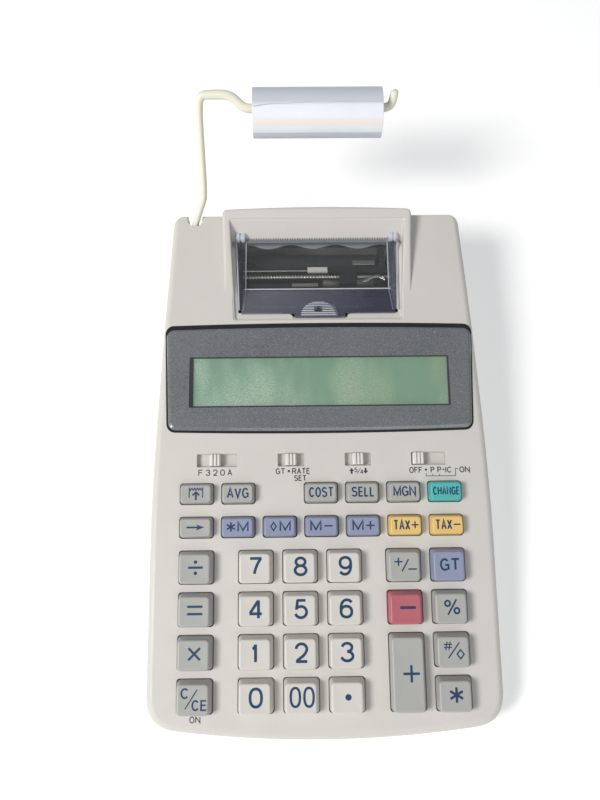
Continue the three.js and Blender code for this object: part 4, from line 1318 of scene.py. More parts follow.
def key_signs(node, x, v):
    """The strokes on one key, in deck coordinates."""
    name = node[len("key_"):]
    line = 0.95
    if name == "1":
        return digit(name, x - 0.4, v, 4.1)
    if name in DIGITS:
        return digit(name, x, v)
    signs = {
        "00": lambda: [*digit("0", x - 2.8, v, 4.8, 8.3, 1.0), *digit("0", x + 2.8, v, 4.8, 8.3, 1.0)],
        "point": lambda: [disc(x, v - 0.3, 1.3)],
        "plus": lambda: plus(x + 0.8, v - 0.2, 6.8, 1.0),
        "minus": lambda: dash(x + 0.4, v, 6.6, 1.15),
        "equals": lambda: [*dash(x, v + 1.5, 6.4, line), *dash(x, v - 1.5, 6.4, line)],
        "divide": lambda: [*dash(x, v, 6.2, line), disc(x, v + 2.3, 0.75), disc(x, v - 2.3, 0.75)],
        "multiply": lambda: star(x, v, 3.4, line, 4, 45),
        "total": lambda: star(x, v, 3.0, 1.0, 6, 90),
        "percent": lambda: [
            *digit("O", x - 1.9, v + 1.5, 2.9, 3.0, 0.8),
            *digit("O", x + 1.9, v - 1.5, 2.9, 3.0, 0.8),
            stroke([(x - 1.9, v - 3.1), (x + 1.9, v + 3.1)], 0.7),
        ],
        "grand_total": lambda: word("GT", 5.3, 8.6, x, v, 0.85),
        "sign": lambda: [
            *plus(x - 2.9, v + 1.4, 3.4, 0.6),
            stroke([(x - 1.5, v - 2.6), (x + 1.4, v + 2.4)], 0.55),
            *dash(x + 3.0, v - 1.7, 3.6, 0.6),
        ],
        "non_add": lambda: [
            stroke([(x - 3.6, v + 0.2), (x - 2.9, v + 3.6)], 0.45),
            stroke([(x - 2.3, v + 0.2), (x - 1.6, v + 3.6)], 0.45),
            *dash(x - 2.6, v + 2.5, 3.4, 0.45),
            *dash(x - 2.6, v + 1.3, 3.4, 0.45),
            stroke([(x - 2.6, v - 3.0), (x + 2.2, v + 3.2)], 0.5),
            diamond(x + 2.5, v - 1.5, 2.9, 3.6, 0.55),
        ],
        "clear": lambda: [
            *word("C", 4.3, 3.5, x - 3.6, v + 2.1, 0.7),
            stroke([(x - 3.5, v - 4.0), (x + 1.5, v + 3.6)], 0.42),
            *word("CE", 4.3, 6.4, x + 2.4, v - 2.6, 0.7),
        ],
        "feed": lambda: feed_sign(x, v),
        "average": lambda: word("AVG", 4.5, 9.5, x, v, 0.7),
        "cost": lambda: word("COST", 4.4, 10.7, x, v, 0.66),
        "sell": lambda: word("SELL", 4.4, 10.0, x, v, 0.68),
        "margin": lambda: word("MGN", 4.4, 9.9, x, v, 0.68),
        "change": lambda: word("CHANGE", 3.6, 11.6, x, v, 0.54),
        "backspace": lambda: arrow_right(x, v, 7.6),
        "memory_total": lambda: [*star(x - 2.9, v, 2.0, 0.68, 6, 90), *memory(x + 2.3, v)],
        "memory_subtotal": lambda: [diamond(x - 2.7, v, 2.3, 3.4, 0.55), *memory(x + 2.3, v)],
        "memory_minus": lambda: [*memory(x - 2.6, v), *dash(x + 2.8, v, 3.5, 0.62)],
        "memory_plus": lambda: [*memory(x - 2.6, v), *plus(x + 2.8, v, 3.6, 0.62)],
        "tax_plus": lambda: [*tax(x - 1.8, v), *plus(x + 3.9, v, 3.0, 0.58)],
        "tax_minus": lambda: [*tax(x - 1.8, v), *dash(x + 3.9, v, 2.9, 0.58)],
    }
    return signs[name]()


def keys():
    """Every keycap with its signs, in the colour of its CAD slot."""
    slots = {part["node"]: part["material_slot"] for part in frame["record"]["subparts"]}
    for node in KEY_NODES:
        keycap(node, slots[node])
        x, v, _, _, rise = key_top(node)
        shift = SIGN_SHIFT[is_large(rise)]
        signs = key_signs(node, x + shift[0], v + shift[1])
        legend(f"{node}_legend", node, signs, key_surface(node), "ink_blue")


def key_mat():
    """The silicone mat seen down the gaps: a sheet with a soft dome under each key."""
    low, high = node_box("key_mat", DECK)
    build = Build(DECK)
    build.box(tuple(low), (high.x, high.y, low.z + 0.7))
    for node in KEY_NODES:
        x, v = key_size(node)[:2]
        build.lathe_z([(low.z + 0.5, 4.6), (low.z + 0.9, 3.2), (high.z - 0.1, 2.4)], x, v, 16)
    build.piece("key_mat_sheet", "silicone", slot="silicone", replaces=["key_mat"])


# ---- Slide switches and deck legends ------------------------------------------------------------
def switch_knobs():
    """White knobs with three finger ridges, on a stem, with a shield that closes the slot under them."""
    for node in SLOTS:
        low, high = node_box(node, DECK)
        x, v = (low.x + high.x) / 2, (low.y + high.y) / 2
        half, deep = (high.x - low.x) / 2, (high.y - low.y) / 2
        profile = [(-half, -2.2), (half, -2.2), (half, 0.15), (half - 0.25, 0.4)]
        for ridge in (1.5, 0, -1.5):
            profile += [(ridge + 0.6, 0.45), (ridge + 0.42, 1.5), (ridge - 0.42, 1.5), (ridge - 0.6, 0.45)]
        profile += [(-half + 0.25, 0.4), (-half, 0.15)]
        build = Build(DECK)
        rings = []
        for dv, scale in ((-deep, 0.94), (-deep + 0.25, 1), (deep - 0.25, 1), (deep, 0.94)):
            rings.append([(x + px * scale, v + dv, h * scale) for px, h in reversed(profile)])
        build.loft(rings)
        build.box((x - 1.3, v - 0.35, low.z), (x + 1.3, v + 0.35, -2.1))
        build.piece(f"{node}_knob", "knob", node, "key_white", [node], smooth=35)
        slot_x, slot_length = SLOTS[node]
        travel = [limit / MM for limit in joints[f"{node}_slide"]["range_m"]]
        shield = Build(DECK)
        left = slot_x - slot_length / 2 - travel[1]
        right = slot_x + slot_length / 2 - travel[0]
        shield.box((left, v - 3.5, -2.75), (right, v + 3.5, -2.4))
        shield.piece(f"{node}_shield", "shield", node, "key_white")


def arrow_up(x, v, size, down=False):
    """A filled arrow that points away from the user, or towards them."""
    foot, tip = (v + 0.5 * size, v - 0.5 * size) if down else (v - 0.5 * size, v + 0.5 * size)
    stem, barb = 0.16 * size, 0.42 * size
    outline = [(x - stem, foot), (x + stem, foot), (x + stem, v), (x + barb, v), (x, tip)]
    outline += [(x - barb, v), (x - stem, v)]
    return polygon(outline[::-1] if down else outline)


def small_word(text, width, x, v, height=2.7):
    """A word in the fine print on the deck."""
    return word(text, height, width, x, v, 0.42)


def deck_legend(name, pieces):
    """Black print on the flat deck."""
    legend(f"legend_{name}", "root", pieces, lambda x, v: 0.0, "ink_black")


def deck_legends():
    """Small black print by the switches and under the clear key."""
    row = 110.9
    letters = [part for i, c in enumerate("F320A") for part in digit(c, -53.1 + 3.2 * i, row, 2.1, 2.8, 0.42)]
    deck_legend("decimal", letters)
    rate = [
        *small_word("GT", 4.2, -18.0, row + 0.3),
        disc(-14.3, row + 0.3, 0.55),
        *small_word("RATE", 7.9, -8.9, row + 0.3),
        *small_word("SET", 5.5, -9.3, row - 2.8, 2.6),
    ]
    deck_legend("rate", rate)
    rounding = [
        arrow_up(13.4, row + 0.1, 2.6),
        *digit("5", 15.3, row + 0.5, 1.4, 2.1, 0.32),
        stroke([(15.8, row - 1.1), (17.4, row + 1.3)], 0.25),
        *digit("4", 17.9, row - 0.3, 1.4, 2.1, 0.32),
        arrow_up(19.6, row + 0.1, 2.6, True),
    ]
    deck_legend("rounding", rounding)
    rule = row - 2.5
    bracket = [(46.3, row - 1.4), (46.3, rule), (59.3, rule), (59.3, row + 0.6), (60.5, row + 0.6)]
    power = [
        *small_word("OFF", 5.8, 41.8, row + 0.2),
        disc(46.3, row + 0.3, 0.5),
        *small_word("P", 1.8, 49.2, row + 0.2),
        *small_word("P", 1.8, 52.2, row + 0.2),
        disc(54.0, row + 0.3, 0.38),
        *small_word("IC", 3.0, 56.2, row + 0.2),
        *small_word("ON", 4.6, 63.4, row + 0.2),
        stroke(bracket, 0.26),
        stroke([(49.2, row - 1.6), (49.2, rule)], 0.26),
        stroke([(52.2, row - 1.6), (52.2, rule)], 0.26),
    ]
    deck_legend("power", power)
    deck_legend("on", small_word("ON", 4.6, -54.1, 8.6))


# ---- Display ------------------------------------------------------------------------------------
LENS_TOP = LENS_HIGH.z
LCD_TOP = -0.6  # the glass lies this far under the deck


def in_window_wall(point):
    """Whether a point of the lens lies on the walls of its window, below the top edge."""
    across = abs(point.x) < WINDOW["half"] + 0.1
    return across and WINDOW["front"] - 0.1 < point.y < WINDOW["rear"] + 0.1 and point.z < LENS_TOP - 0.3


def display_lens():
    """The smoked lens in a glossy black ring that shows as a dark line round it, widest along the rear: painted
    shade for the shadowed gap between the lens and the case.
    """
    # painted shade: a black ring under the lens's edge stands for the shadowed gap round it
    dark_gap_ring = Build(DECK)
    dark_gap_ring.loft(deck_rings([(-0.35, -0.9), (-0.35, 0.1), (-0.2, 0.25), (0.5, 0.25)], lens_outline))
    dark_gap_ring = dark_gap_ring.make("lens_dark_gap_ring", LOOK["lens_gap_shade"])
    combine(dark_gap_ring, window_cutter(0.1))
    place(dark_gap_ring, slot="black_plastic")
    lens = Build(DECK)
    levels = [(0.45, 1.9, 0.1), (0.45, 1.9, 0.9), (0.7, 2.1, 1.35)]
    levels += [(1.7, 2.9, LENS_TOP - 0.06), (2.0, 3.2, LENS_TOP)]
    lens.loft(deck_rings(levels, lens_outline))
    lens = lens.make("display_lens_body", [LOOK["smoked_lens"], LOOK["window_wall"]])
    combine(lens, window_cutter(0))
    repaint(lens, 1, in_window_wall, DECK)
    place(finish_solid(lens, 12), slot="smoked_lens", replaces=["display_lens"])


def lcd():
    """The reflective LCD in its black frame, and the clear window over it."""
    glass = Build(DECK)
    glass.prism(window_outline(0.05), LCD_TOP - 1.4, LCD_TOP)
    glass.piece("lcd_glass", "lcd", slot="lcd", replaces=["lcd_panel"])
    surround = Build(DECK)
    surround.prism(window_outline(0.06), LCD_TOP - 0.2, LCD_TOP + 0.3)
    surround = surround.make("lcd_surround", LOOK["window_wall"])
    opening = Build(DECK)
    low = (-WINDOW["half"] + 1.5, WINDOW["front"] + 1.05)
    high = (WINDOW["half"] - 0.6, WINDOW["rear"] - 0.15)
    opening.box((*low, LCD_TOP - 1), (*high, LCD_TOP + 1))
    combine(surround, opening)
    place(surround, slot="black_plastic")
    pane = Build(DECK)
    pane.prism(window_outline(-0.01), LENS_TOP - 0.5, LENS_TOP - 0.01)
    pane.piece("window_pane", "pane", slot="clear_plastic")


# ---- Printer cover ------------------------------------------------------------------------------
SHEET = 1.2  # thickness of the cover's sheet
# The middle of the sheet from the side, as y and z: lip, ramp, window and tear-off edge
COVER_LINE = [(182.5, 40.25), (184.2, 40.4), (196.8, 36.4), (219.6, 41.9), (221.2, 42.35)]
COVER_BEND = COVER_LINE[2][0]
COVER_PIVOT = in_frame(BODY, joints["printer_cover_hinge"]["pos_m"])
GRIP = {"y": 181, "radius": 8.2, "pitch": 0.98}


def rounded_path(points, radius, steps=5):
    """A path whose inner corners are eased by curves that start radius away from them."""
    out = [tuple(points[0])]
    for before, here, after in zip(points, points[1:], points[2:]):
        a, b, c = (Vector(p) for p in (before, here, after))
        start = b + (a - b) * min(radius / (a - b).length, 0.48)
        end = b + (c - b) * min(radius / (c - b).length, 0.48)
        out += quad_curve(tuple(start), tuple(b), tuple(end), steps) + [tuple(end)]
    return out + [tuple(points[-1])]


def thick_line(path, thickness):
    """A closed outline of even thickness round a path in a plane."""
    upper, lower = [], []
    for i, point in enumerate(path):
        before, after = Vector(path[max(i - 1, 0)]), Vector(path[min(i + 1, len(path) - 1)])
        along = (after - before).normalized()
        normal = Vector((-along.y, along.x)) * thickness / 2
        upper.append(tuple(Vector(point) + normal))
        lower.append(tuple(Vector(point) - normal))
    return upper + lower[::-1]


def cover_half(y):
    """Half the width of the cover's sheet."""
    return 35.5 - (y - 184) * 0.04


def cover_height(y):
    """Height of the upper face of the cover's sheet."""
    for (y0, z0), (y1, z1) in zip(COVER_LINE, COVER_LINE[1:]):
        if y <= y1:
            return z0 + (z1 - z0) * (y - y0) / (y1 - y0) + SHEET / 2
    return COVER_LINE[-1][1] + SHEET / 2


def repaint(obj, slot, choose, matrix=BODY):
    """Gives slot to the faces whose middle, in the millimetres of matrix, choose picks."""
    inverse = matrix.inverted()
    for face in obj.data.polygons:
        if choose(inverse @ face.center):
            face.material_index = slot


def cover_sheet():
    """The folded clear sheet, with the row of teeth that tears the paper."""
    build = Build()
    outline = thick_line(rounded_path(COVER_LINE, 1.6), SHEET)
    build.loft([[(side * cover_half(y), y, z) for y, z in outline] for side in (-1, 1)])
    tongue = [(-11, 180.5), (12.5, 180.5), (12.5, 183.2), (-11, 183.2)]
    sheet = build.make("cover_sheet", [LOOK["clear"], LOOK["ramp"]])
    front = Build()
    front.prism(tongue, 39.75, 40.7, 0.15)
    combine(sheet, front, "UNION")
    teeth = Build()
    pitch = 1.15  # from tooth to tooth
    rear = COVER_LINE[-1][0]
    count = int(2 * cover_half(rear) / pitch) - 1
    for i in range(count):
        x = (i - (count - 1) / 2) * pitch
        wedge = [(x, rear - 2.0), (x + pitch * 0.48, rear + 0.2), (x - pitch * 0.48, rear + 0.2)]
        teeth.prism(wedge, 38, 46)
    combine(sheet, teeth)
    # a cut too fine to see parts the faces, so that the toothed strip can have its own material
    strip = rear - 2.4
    parting = Build()
    parting.box((-50, strip, 30), (50, strip + 0.002, 60))
    combine(sheet, parting)
    repaint(sheet, 0, lambda p: True)
    repaint(sheet, 1, lambda p: p.y < COVER_BEND - 0.8)
    sheet.data.materials.append(LOOK["tooth"])
    repaint(sheet, 2, lambda p: p.y > strip + 0.01)
    place(finish_solid(sheet, 24), "printer_cover", "clear_plastic", ["printer_cover"])


def cover_flange(side):
    """A side wall that leans outwards, up to the level of the well's ledge."""
    rings = []
    path = rounded_path(COVER_LINE[1:], 1.6)
    for y, z in path:
        inner = Vector((cover_half(y) - 0.3, z - SHEET / 2))
        outer = Vector((36.5 + (y - 184) * 0.045, max(40.6 + (y - 184) * 0.06, z + 0.5)))
        along = (outer - inner).normalized()
        normal = Vector((-along.y, along.x)) * 0.9
        section = [inner, outer, outer + normal, inner + normal]
        rings.append([(side * p.x, y, p.y) for p in section])
    build = Build()
    build.loft(rings)
    name = "left" if side < 0 else "right"
    build.piece(f"cover_flange_{name}", "clear_edge", "printer_cover", "clear_plastic")
    # pale rods along the wall's two long edges: painted highlights
    edges = Build()
    for corner in (1, 3):
        line = [Vector(ring[corner]) for ring in rings]
        edges.loft([[tuple(p + Vector((a * side, 0, b))) for a, b in circle(0.3, 6)] for p in line])
    edges.piece(f"cover_highlight_edges_{name}", "painted_highlight", "printer_cover", "clear_plastic")


def cover_lug(side):
    """A hinge barrel with its stub pin and the web that joins it to the sheet."""
    profile = [(33.9, 0.9), (33.9, 2.0), (34.2, 2.35), (35.6, 2.35), (35.8, 1.7), (36.4, 1.7), (36.6, 2.35)]
    profile += [(37.6, 2.35), (37.9, 2.0), (37.9, 1.3), (38.4, 1.3), (38.4, 0.7)]
    build = Build()
    build.lathe_x([(side * x, r) for x, r in profile], COVER_PIVOT.y, COVER_PIVOT.z, 20)
    y, z = COVER_PIVOT.y, COVER_PIVOT.z
    for x in (34.0, 36.7):
        web = [(y - 4.6, z - 2.6), (y - 0.4, z - 2.3), (y - 0.2, z + 2.1), (y - 2.4, z + 1.6)]
        build.loft([[(side * (x + dx), py, pz) for py, pz in web] for dx in (0, 0.9)], slot=1)
    name = "left" if side < 0 else "right"
    # the barrel and pin take the pale material, a painted highlight for their glints
    lug = build.make(f"cover_lug_{name}", [LOOK["painted_highlight"], LOOK["clear_edge"]])
    place(lug, "printer_cover", "clear_plastic")


def grip_chord(y):
    """Half the length of the finger grip's chord at y."""
    return math.sqrt(max(GRIP["radius"] ** 2 - (y - GRIP["y"]) ** 2, 0.01))


def on_ramp(build, points, low, high, shrink=0.0):
    """A flat outline laid on the cover's ramp and raised from low to high."""
    levels = [(0, low), (0, high - shrink), (shrink, high)] if shrink else [(0, low), (0, high)]
    build.loft([[(x, y, cover_height(y) + up) for x, y in inset(points, d)] for d, up in levels])


def cover_grip():
    """The round frosted finger grip: a thin disc, ribs across it and an arrow that says lift."""
    y, radius = GRIP["y"], GRIP["radius"]
    angles = [math.pi * i / 32 for i in range(33)]
    rim = [(0.7 + radius * math.cos(angle), y + radius * math.sin(angle)) for angle in angles]
    build = Build()
    on_ramp(build, rim, -0.1, 0.1)
    build.piece("grip_disc", "frosted", "printer_cover", "clear_plastic", smooth=0)
    ribs = Build()
    for i in range(8):
        near = y + 0.35 + GRIP["pitch"] * i
        far = near + 0.42
        half = grip_chord(far) - 0.15
        gap = 1.9 if 1 < i < 5 else 0
        spans = [(-half, -gap), (gap, half)] if gap else [(-half, half)]
        for left, right in spans:
            on_ramp(ribs, [(left, near), (right, near), (right, far), (left, far)], 0, 0.38, 0.1)
    ribs.piece("grip_ribs", "frosted_rib", "printer_cover", "clear_plastic", smooth=0)
    arrow = Build()
    on_ramp(arrow, [(-1.5, y + 2.2), (1.5, y + 2.2), (0, y + 5.1)], 0.05, 0.3)
    arrow.piece("grip_arrow", "ink_black", "printer_cover", "clear_plastic", smooth=0)


def bend_line():
    """A pale line along the fold between the ramp and the window of the cover, a painted highlight."""
    build = Build()
    half = cover_half(COVER_BEND) - 0.4
    z = cover_height(COVER_BEND) + 0.25
    build.loft([[(x, COVER_BEND + a, z + b) for a, b in circle(0.28, 8)] for x in (-half, half)])
    build.piece("cover_bend_highlight", "painted_highlight", "printer_cover", "clear_plastic")


def printer_cover():
    """All pieces of the hinged clear cover."""
    cover_sheet()
    bend_line()
    for side in (-1, 1):
        cover_flange(side)
        cover_lug(side)
    cover_grip()


# ---- Printer ------------------------------------------------------------------------------------
SHAFT = middle_of("carriage_shaft")
FRAME_LOW, FRAME_HIGH = node_box("printer_frame", BODY)


def printer_frame():
    """The black chassis: a tray, two side plates, ribs, and the bearings of the rollers and shaft."""
    low, high = FRAME_LOW, FRAME_HIGH
    build = Build()
    build.box((low.x, low.y, low.z), (high.x, high.y, low.z + 1.5))
    build.box((low.x + 2, low.y + 2, low.z + 1.5), (-12, low.y + 9, 19), 0.4)
    plate = [(low.y, low.z), (high.y, low.z), (high.y, high.z - 5), (high.y - 4, high.z)]
    plate += [(low.y + 12, high.z), (low.y + 3, high.z - 7), (low.y, high.z - 12)]
    for x in (low.x, high.x - 2):
        build.side_plate(plate, x, x + 2)
    build.box((low.x, low.y, low.z), (high.x, low.y + 2, 21), 0.4)
    build.box((-18.5, low.y + 3, low.z + 1.5), (-17, 203, 27), 0.3)
    ink = middle_of("ink_roller")
    cheek = [(185, 5), (194.5, 5), (194.5, 29), (190, 29), (185, 24)]
    build.side_plate(cheek, ink.x - 8.8, ink.x - 7.2)
    build.box((-35.4, 198.6, 24.6), (-21.5, 204.2, 26.4), 0.4)
    build.box((-35.6, 200.3, 31.9), (0.7, 202.3, 32.6), 0.2)
    build.box((30.6, 203.4, low.z + 1.5), (33.4, 205.9, 32.3), 0.3)
    build.box((6, 209.2, 30.4), (35.4, 212.2, 30.9), 0.2)
    build.piece("printer_chassis", "black_plastic", slot="black_plastic", replaces=["printer_frame"])
    plates = Build()
    plates.box((-12, 200.4, 32.62), (0.5, 202.2, 33.0), 0.15)
    plates.box((17.5, 212.6, 31.6), (28.2, 215.0, 32.0), 0.15)
    washer = [(-0.25, 1.4), (-0.25, 2.2), (2.25, 2.2), (2.25, 1.4)]
    for x in (low.x, high.x - 2.0):
        plates.lathe_x([(x + along, radius) for along, radius in washer], SHAFT.y, SHAFT.z, 20)
    plates.piece("printer_plates", "dull_steel", slot="bright_steel")


def paper_guide():
    """The guide under the tear-off edge, with its wavy front edge, the sheet in the inlet, and a strip."""
    rear, front, half, steps = 223.4, 219.6, 33.6, 36
    points = [(-half, rear), (half, rear)]
    for i in range(steps + 1):
        x = half - 2 * half * i / steps
        points.append((x, front - 1.2 * math.cos((x + 1.5) * 0.292)))
    build = Build()
    build.prism(points[::-1], 36.9, 37.5, 0.15)
    build.piece("paper_guide", "guide_plastic", slot="black_plastic")
    chute = Build()
    chute.side_plate(thick_line([(225.8, 26.2), (229.6, 31.2)], 0.8), -33, 33)
    chute.piece("inlet_guide", "black_plastic", slot="black_plastic")
    strip = Build()
    path = [(22.2 + 0.9 * i, 203.8 + 2.4 * math.sin(0.22 * i) ** 2, 32.0 + 0.05 * i) for i in range(13)]
    strip.tube(path, lambda share: [(a * 0.7, b * 0.18) for a, b in circle(1, 10)])
    strip.lathe_z([(32.35, 0.1), (32.6, 0.42), (32.9, 0.42), (33.1, 0.1)], 32.0, 205.3, 16)
    strip.piece("contact_strip", "steel", slot="bright_steel")


def guide_rods():
    """The shaft that the carriage slides on, and the thin rail behind it."""
    build = Build()
    low, high = node_box("carriage_shaft", BODY)
    radius = (high.z - low.z) / 2
    profile = [(low.x, radius - 0.2), (low.x + 0.2, radius), (high.x - 0.2, radius), (high.x, radius - 0.2)]
    build.lathe_x(profile, SHAFT.y, SHAFT.z, 24)
    build.piece("carriage_shaft_rod", "dull_steel", slot="bright_steel", replaces=["carriage_shaft"])
    rail = Build()
    rail.lathe_x([(-36.4, 0.5), (36.4, 0.5)], 210.4, 30.2, 16)
    rail.piece("guide_rail", "steel", slot="bright_steel")


def carriage_spring():
    """The long thin coil spring round the shaft, which pulls the carriage back."""
    low, high = node_box("carriage_spring", BODY)
    turns, per_turn, coil = 30, 12, 1.32
    path = []
    for i in range(turns * per_turn + 1):
        share = i / (turns * per_turn)
        angle = 2 * math.pi * i / per_turn
        x = low.x + 1.2 + (high.x - low.x - 1.8) * share
        path.append((x, SHAFT.y + coil * math.cos(angle), SHAFT.z + coil * math.sin(angle)))
    build = Build()
    build.tube(path, lambda share: circle(0.27, 6), Vector((1, 0.01, 0)))
    spring = build.make("carriage_spring_coil", LOOK["steel"], 60)
    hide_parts("carriage_spring")
    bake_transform(spring)


def print_carriage():
    """The sliding carriage with its type-wheel cheeks, and the pale block that rides on the rail."""
    low, high = node_box("print_carriage", BODY)
    build = Build()
    slider_left, cheek = 11, 1.2
    build.box((slider_left, SHAFT.y - 4.2, SHAFT.z - 1.5), (high.x, SHAFT.y + 1.8, SHAFT.z + 1.9), 0.5)
    for x in (slider_left, high.x - cheek):
        build.box((x, SHAFT.y - 3.7, low.z), (x + cheek, SHAFT.y + 1.8, SHAFT.z), 0.2)
    build.box((4.6, 208.8, 31.3), (12, 210.6, 31.9), 0.15)
    build.piece("carriage_body", "black_plastic", "print_carriage", "black_plastic", ["print_carriage"])
    block = Build()
    block.box((low.x, 208.5, 31.2), (5.3, 211.1, high.z), 0.35)
    block.piece("carriage_block", "knob", "print_carriage", "key_white")


def printer_motor():
    """The small can motor with its end boss and terminal cap."""
    low, high = node_box("printer_motor", BODY)
    middle = (low + high) / 2
    radius = (high.z - low.z) / 2
    build = Build()
    profile = [(low.x, 2.4), (low.x, radius - 0.8), (low.x + 0.8, radius)]
    profile += [(high.x - 3.2, radius), (high.x - 2.6, radius - 0.3), (high.x - 0.6, radius - 0.3)]
    profile += [(high.x, radius - 1.0), (high.x, 2.2)]
    build.lathe_x(profile, middle.y, middle.z, 32)
    build.piece("motor_can", "dull_steel", slot="bright_steel", replaces=["printer_motor"])


def finish_cad_nodes():
    """Better materials for the CAD nodes that stay visible."""
    looks = {
        "main_board": "circuit_board",
        "motor_pinion": "brass",
        "feed_roller": "roller_rubber",
        "print_wheel": "black_plastic",
        "ink_roller": "ink_felt",
    }
    for node, look in looks.items():
        for material_slot in frame["nodes"][node].material_slots:
            material_slot.material = LOOK[look]


# ---- Paper arm, roll and socket -----------------------------------------------------------------
ARM_PIVOT = in_frame(BODY, joints["paper_arm_hinge"]["pos_m"])
ROLL_LOW, ROLL_HIGH = node_box("paper_roll", BODY)
ROLL = (ROLL_LOW + ROLL_HIGH) / 2
ROLL_RADIUS = (ROLL_HIGH.z - ROLL_LOW.z) / 2
BAR_HANG = 2.7  # the bar lies this far above the roll's axis
BAR_S = math.hypot(ROLL.y - ARM_PIVOT.y, ROLL.z + BAR_HANG - ARM_PIVOT.z)
ARM_LEAN = math.atan2(ROLL.z + BAR_HANG - ARM_PIVOT.z, ROLL.y - ARM_PIVOT.y)
ARM_FRAME = BODY @ Matrix.Translation((0, ARM_PIVOT.y, ARM_PIVOT.z)) @ Matrix.Rotation(ARM_LEAN, 4, "X")

# x, distance up the arm, and width of the rod, from the pin to the hook
ARM_PATH = [
    (-56.5, 0, 3.6), (-58, 2.4, 3.5), (-58, 10.6, 3.1), (-53, 23.6, 3.1), (-52.7, 30, 3.1), (-52.7, 62, 3.2),
    (-52.3, 69.2, 4.0), (-46, 69.5, 4.3), (-38.4, 69.3, 4.3), (-33.4, BAR_S + 0.6, 4.2), (-28, BAR_S, 4.1),
    (27, BAR_S, 4.0), (33.0, BAR_S + 0.7, 3.9), (34.2, 69.5, 3.7), (33.9, 71, 3.6),
]


def paper_arm():
    """The folding arm: one bent round-edged rod, with the pin that it swings on."""
    bend = 6
    path = rounded_path(ARM_PATH[:bend], 1.5, 5)[:-1] + rounded_path(ARM_PATH[bend - 2:], 3.8, 8)[1:]
    centres = [(x, s, 0) for x, s, _ in path]
    widths = [width for _, _, width in path]
    build = Build(ARM_FRAME)
    last = len(path) - 1

    def section(share):
        i = round(share * last)
        end = 0.72 if i in (0, last) else 1.0
        return [(a * widths[i] / 2 * end, b * 1.9 * end) for a, b in circle(1, 20)]

    build.tube(centres, section)
    build.piece("paper_arm_rod", "arm_plastic", "paper_arm", "arm_plastic", ["paper_arm"], smooth=60)
    pin = Build()
    pin.lathe_x([(-57, 1.5), (-56.8, 1.8), (-46.8, 1.8), (-46.5, 1.5)], ARM_PIVOT.y, ARM_PIVOT.z, 24)
    pin.piece("paper_arm_pin", "arm_plastic", "paper_arm", "arm_plastic")


def roll_point(x, angle, radius):
    """A point round the roll's axis."""
    return (x, ROLL.y + radius * math.cos(angle), ROLL.z + radius * math.sin(angle))


def paper_roll():
    """The roll: a wound body, its core, and the loose outer turn, whose free edge stands a little open."""
    half = ROLL_HIGH.x
    body_radius = ROLL_RADIUS - 0.25
    build = Build()
    profile = [(-half, 6.9), (-half, body_radius - 0.15), (-half + 0.15, body_radius)]
    profile += [(half - 0.15, body_radius), (half, body_radius - 0.15), (half, 6.9)]
    build.lathe_x(profile, ROLL.y, ROLL.z, 96, closed=True)
    wound = build.make("paper_roll_body", [LOOK["paper"], LOOK["paper_edge"]], 30)
    repaint(wound, 1, lambda p: abs(p.x) > half - 0.02)
    place(wound, "paper_roll", "paper", ["paper_roll"])
    core = Build()
    profile = [(-half + 0.3, 6.05), (-half + 0.3, 6.85), (half - 0.3, 6.85), (half - 0.3, 6.05)]
    core.lathe_x(profile, ROLL.y, ROLL.z, 48, closed=True)
    core.piece("paper_roll_core", "core", "paper_roll", "paper")
    flap = Build()
    columns, rows = 40, 64
    start = math.radians(-170)
    grid = []
    for thickness in (0, 0.1):
        for j in range(rows + 1):
            share = j / rows
            ring = []
            for i in range(columns + 1):
                x = -half + 2 * half * i / columns
                edge = math.radians(105 + 11 * math.exp(-(x + half) / 13) + 0.8 * math.sin(x * 0.35))
                angle = start + (edge - start) * share
                near = max(0, 1 - (edge - angle) / 0.5)
                lift = (0.12 + 0.75 * math.exp(-(x + half) / 9)) * near**2
                ring.append(roll_point(x * 0.999, angle, body_radius + 0.03 + 0.1 * share + thickness + lift))
            grid.append(flap.ring(ring))
    inner, outer = grid[: rows + 1], grid[rows + 1 :]
    flap.skin(inner, closed=False)
    flap.skin(outer, closed=False)
    for a, b in ((inner[0], outer[0]), (inner[-1], outer[-1])):
        flap.skin([a, b], closed=False)
    for column in (0, -1):
        flap.skin([[ring[column] for ring in inner], [ring[column] for ring in outer]], closed=False)
    flap.piece("paper_loose_turn", "paper", "paper_roll", "paper", smooth=50)


def dc_jack():
    """The round power socket: a black block with a bore and a contact pin."""
    low, high = node_box("dc_jack", BODY)
    middle = (low + high) / 2
    block = Build()
    outline = rounded_rect(high.x - low.x, high.z - low.z, 0.8, 4, middle.x, middle.z)
    levels = ((0.3, low.y), (0, low.y + 0.3), (0, high.y))
    block.loft([[(x, y, z) for x, z in inset(outline, d)] for d, y in levels])
    block = block.make("jack_block", LOOK["black_plastic"])
    bore = Build()
    bore.lathe_y([(high.y - 8.5, 3.2), (high.y + 1, 3.2)], middle.x, middle.z)
    combine(block, bore)
    place(block, slot="black_plastic", replaces=["dc_jack"])
    pin = Build()
    pin.lathe_y([(high.y - 9, 1.0), (high.y - 2.4, 1.0), (high.y - 1.9, 0.6)], middle.x, middle.z, 20)
    pin.piece("jack_pin", "steel", slot="bright_steel")


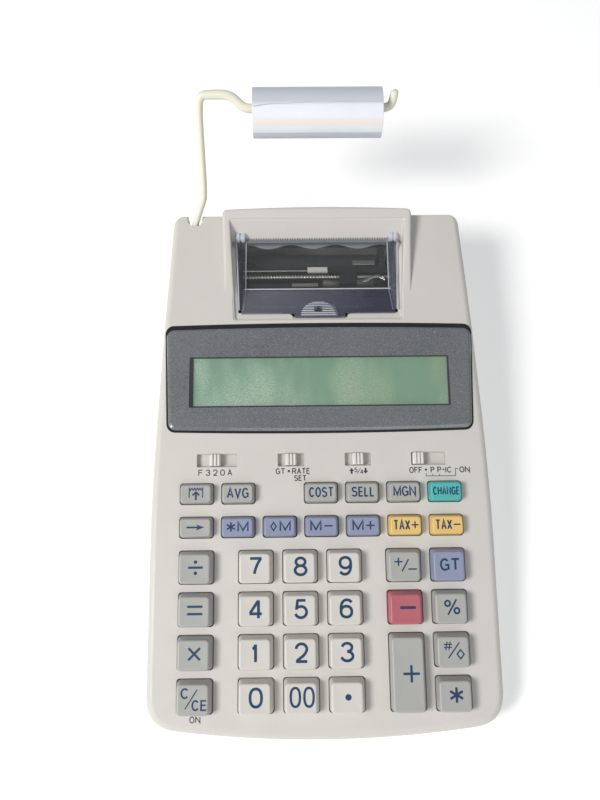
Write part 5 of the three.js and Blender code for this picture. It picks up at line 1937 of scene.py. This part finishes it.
# ---- Camera, lights and floor -------------------------------------------------------------------
def camera():
    """The photo's point of view."""
    data = bpy.data.cameras.new("camera")
    data.sensor_fit = "VERTICAL"
    data.sensor_height = 36
    data.lens = 0.975 * data.sensor_height
    data.clip_start = 0.01
    obj = bpy.data.objects.new("camera", data)
    bpy.context.scene.collection.objects.link(obj)
    above, tilt = (-13.25, 22.3, 365.0), (19.94, -0.458, -0.782)
    obj.location = BODY @ Vector(above)
    obj.rotation_euler = [math.radians(angle) for angle in tilt]
    bpy.context.scene.camera = obj


def floor():
    """A white sheet that the part stands on."""
    build = Build(Matrix.Identity(4))
    build.box((-3, -3, -0.02), (3, 3, 0))
    m = Nodes("floor")
    m.set(
        Base_Color=m.mix(m.noise(2), srgb("f7f7f7"), srgb("fbfbfb")),
        Roughness=m.vary(20, 3, 0.7, 0.8),
        Emission_Color=(1, 1, 1, 1),
        Emission_Strength=0.28,
    )
    build.make("floor", m.material)


def area_light(name, where, aim, size, power, colour=(1, 1, 1)):
    """A rectangular lamp at where, turned towards aim, all in metres."""
    data = bpy.data.lights.new(name, "AREA")
    data.shape = "RECTANGLE"
    data.size, data.size_y = size
    data.energy = power
    data.color = colour
    obj = bpy.data.objects.new(name, data)
    obj.location = where
    obj.rotation_euler = (Vector(aim) - Vector(where)).to_track_quat("-Z", "Y").to_euler()
    bpy.context.scene.collection.objects.link(obj)


def studio():
    """A dim white sky, a key light from the left and a weak fill from the front."""
    world = bpy.data.worlds.new("studio")
    world.use_nodes = True
    background = world.node_tree.nodes["Background"]
    background.inputs["Color"].default_value = (0.93, 0.96, 1, 1)
    background.inputs["Strength"].default_value = 0.3
    bpy.context.scene.world = world
    area_light("key_light", (-0.95, -0.4, 1.15), (0, 0, 0.02), (0.5, 0.5), 18.5, (1, 0.985, 0.97))
    area_light("fill_light", (0.4, -0.95, 0.9), (0, 0, 0.02), (1.2, 0.8), 3.4)


upper_case()
lower_case()
battery_cover()
rubber_feet()
case_screws()
batteries()
keys()
key_mat()
switch_knobs()
deck_legends()
display_lens()
lcd()
printer_cover()
printer_frame()
paper_guide()
guide_rods()
carriage_spring()
print_carriage()
printer_motor()
finish_cad_nodes()
paper_arm()
paper_roll()
dc_jack()
camera()
floor()
studio()
bpy.context.scene.view_settings.view_transform = "Standard"
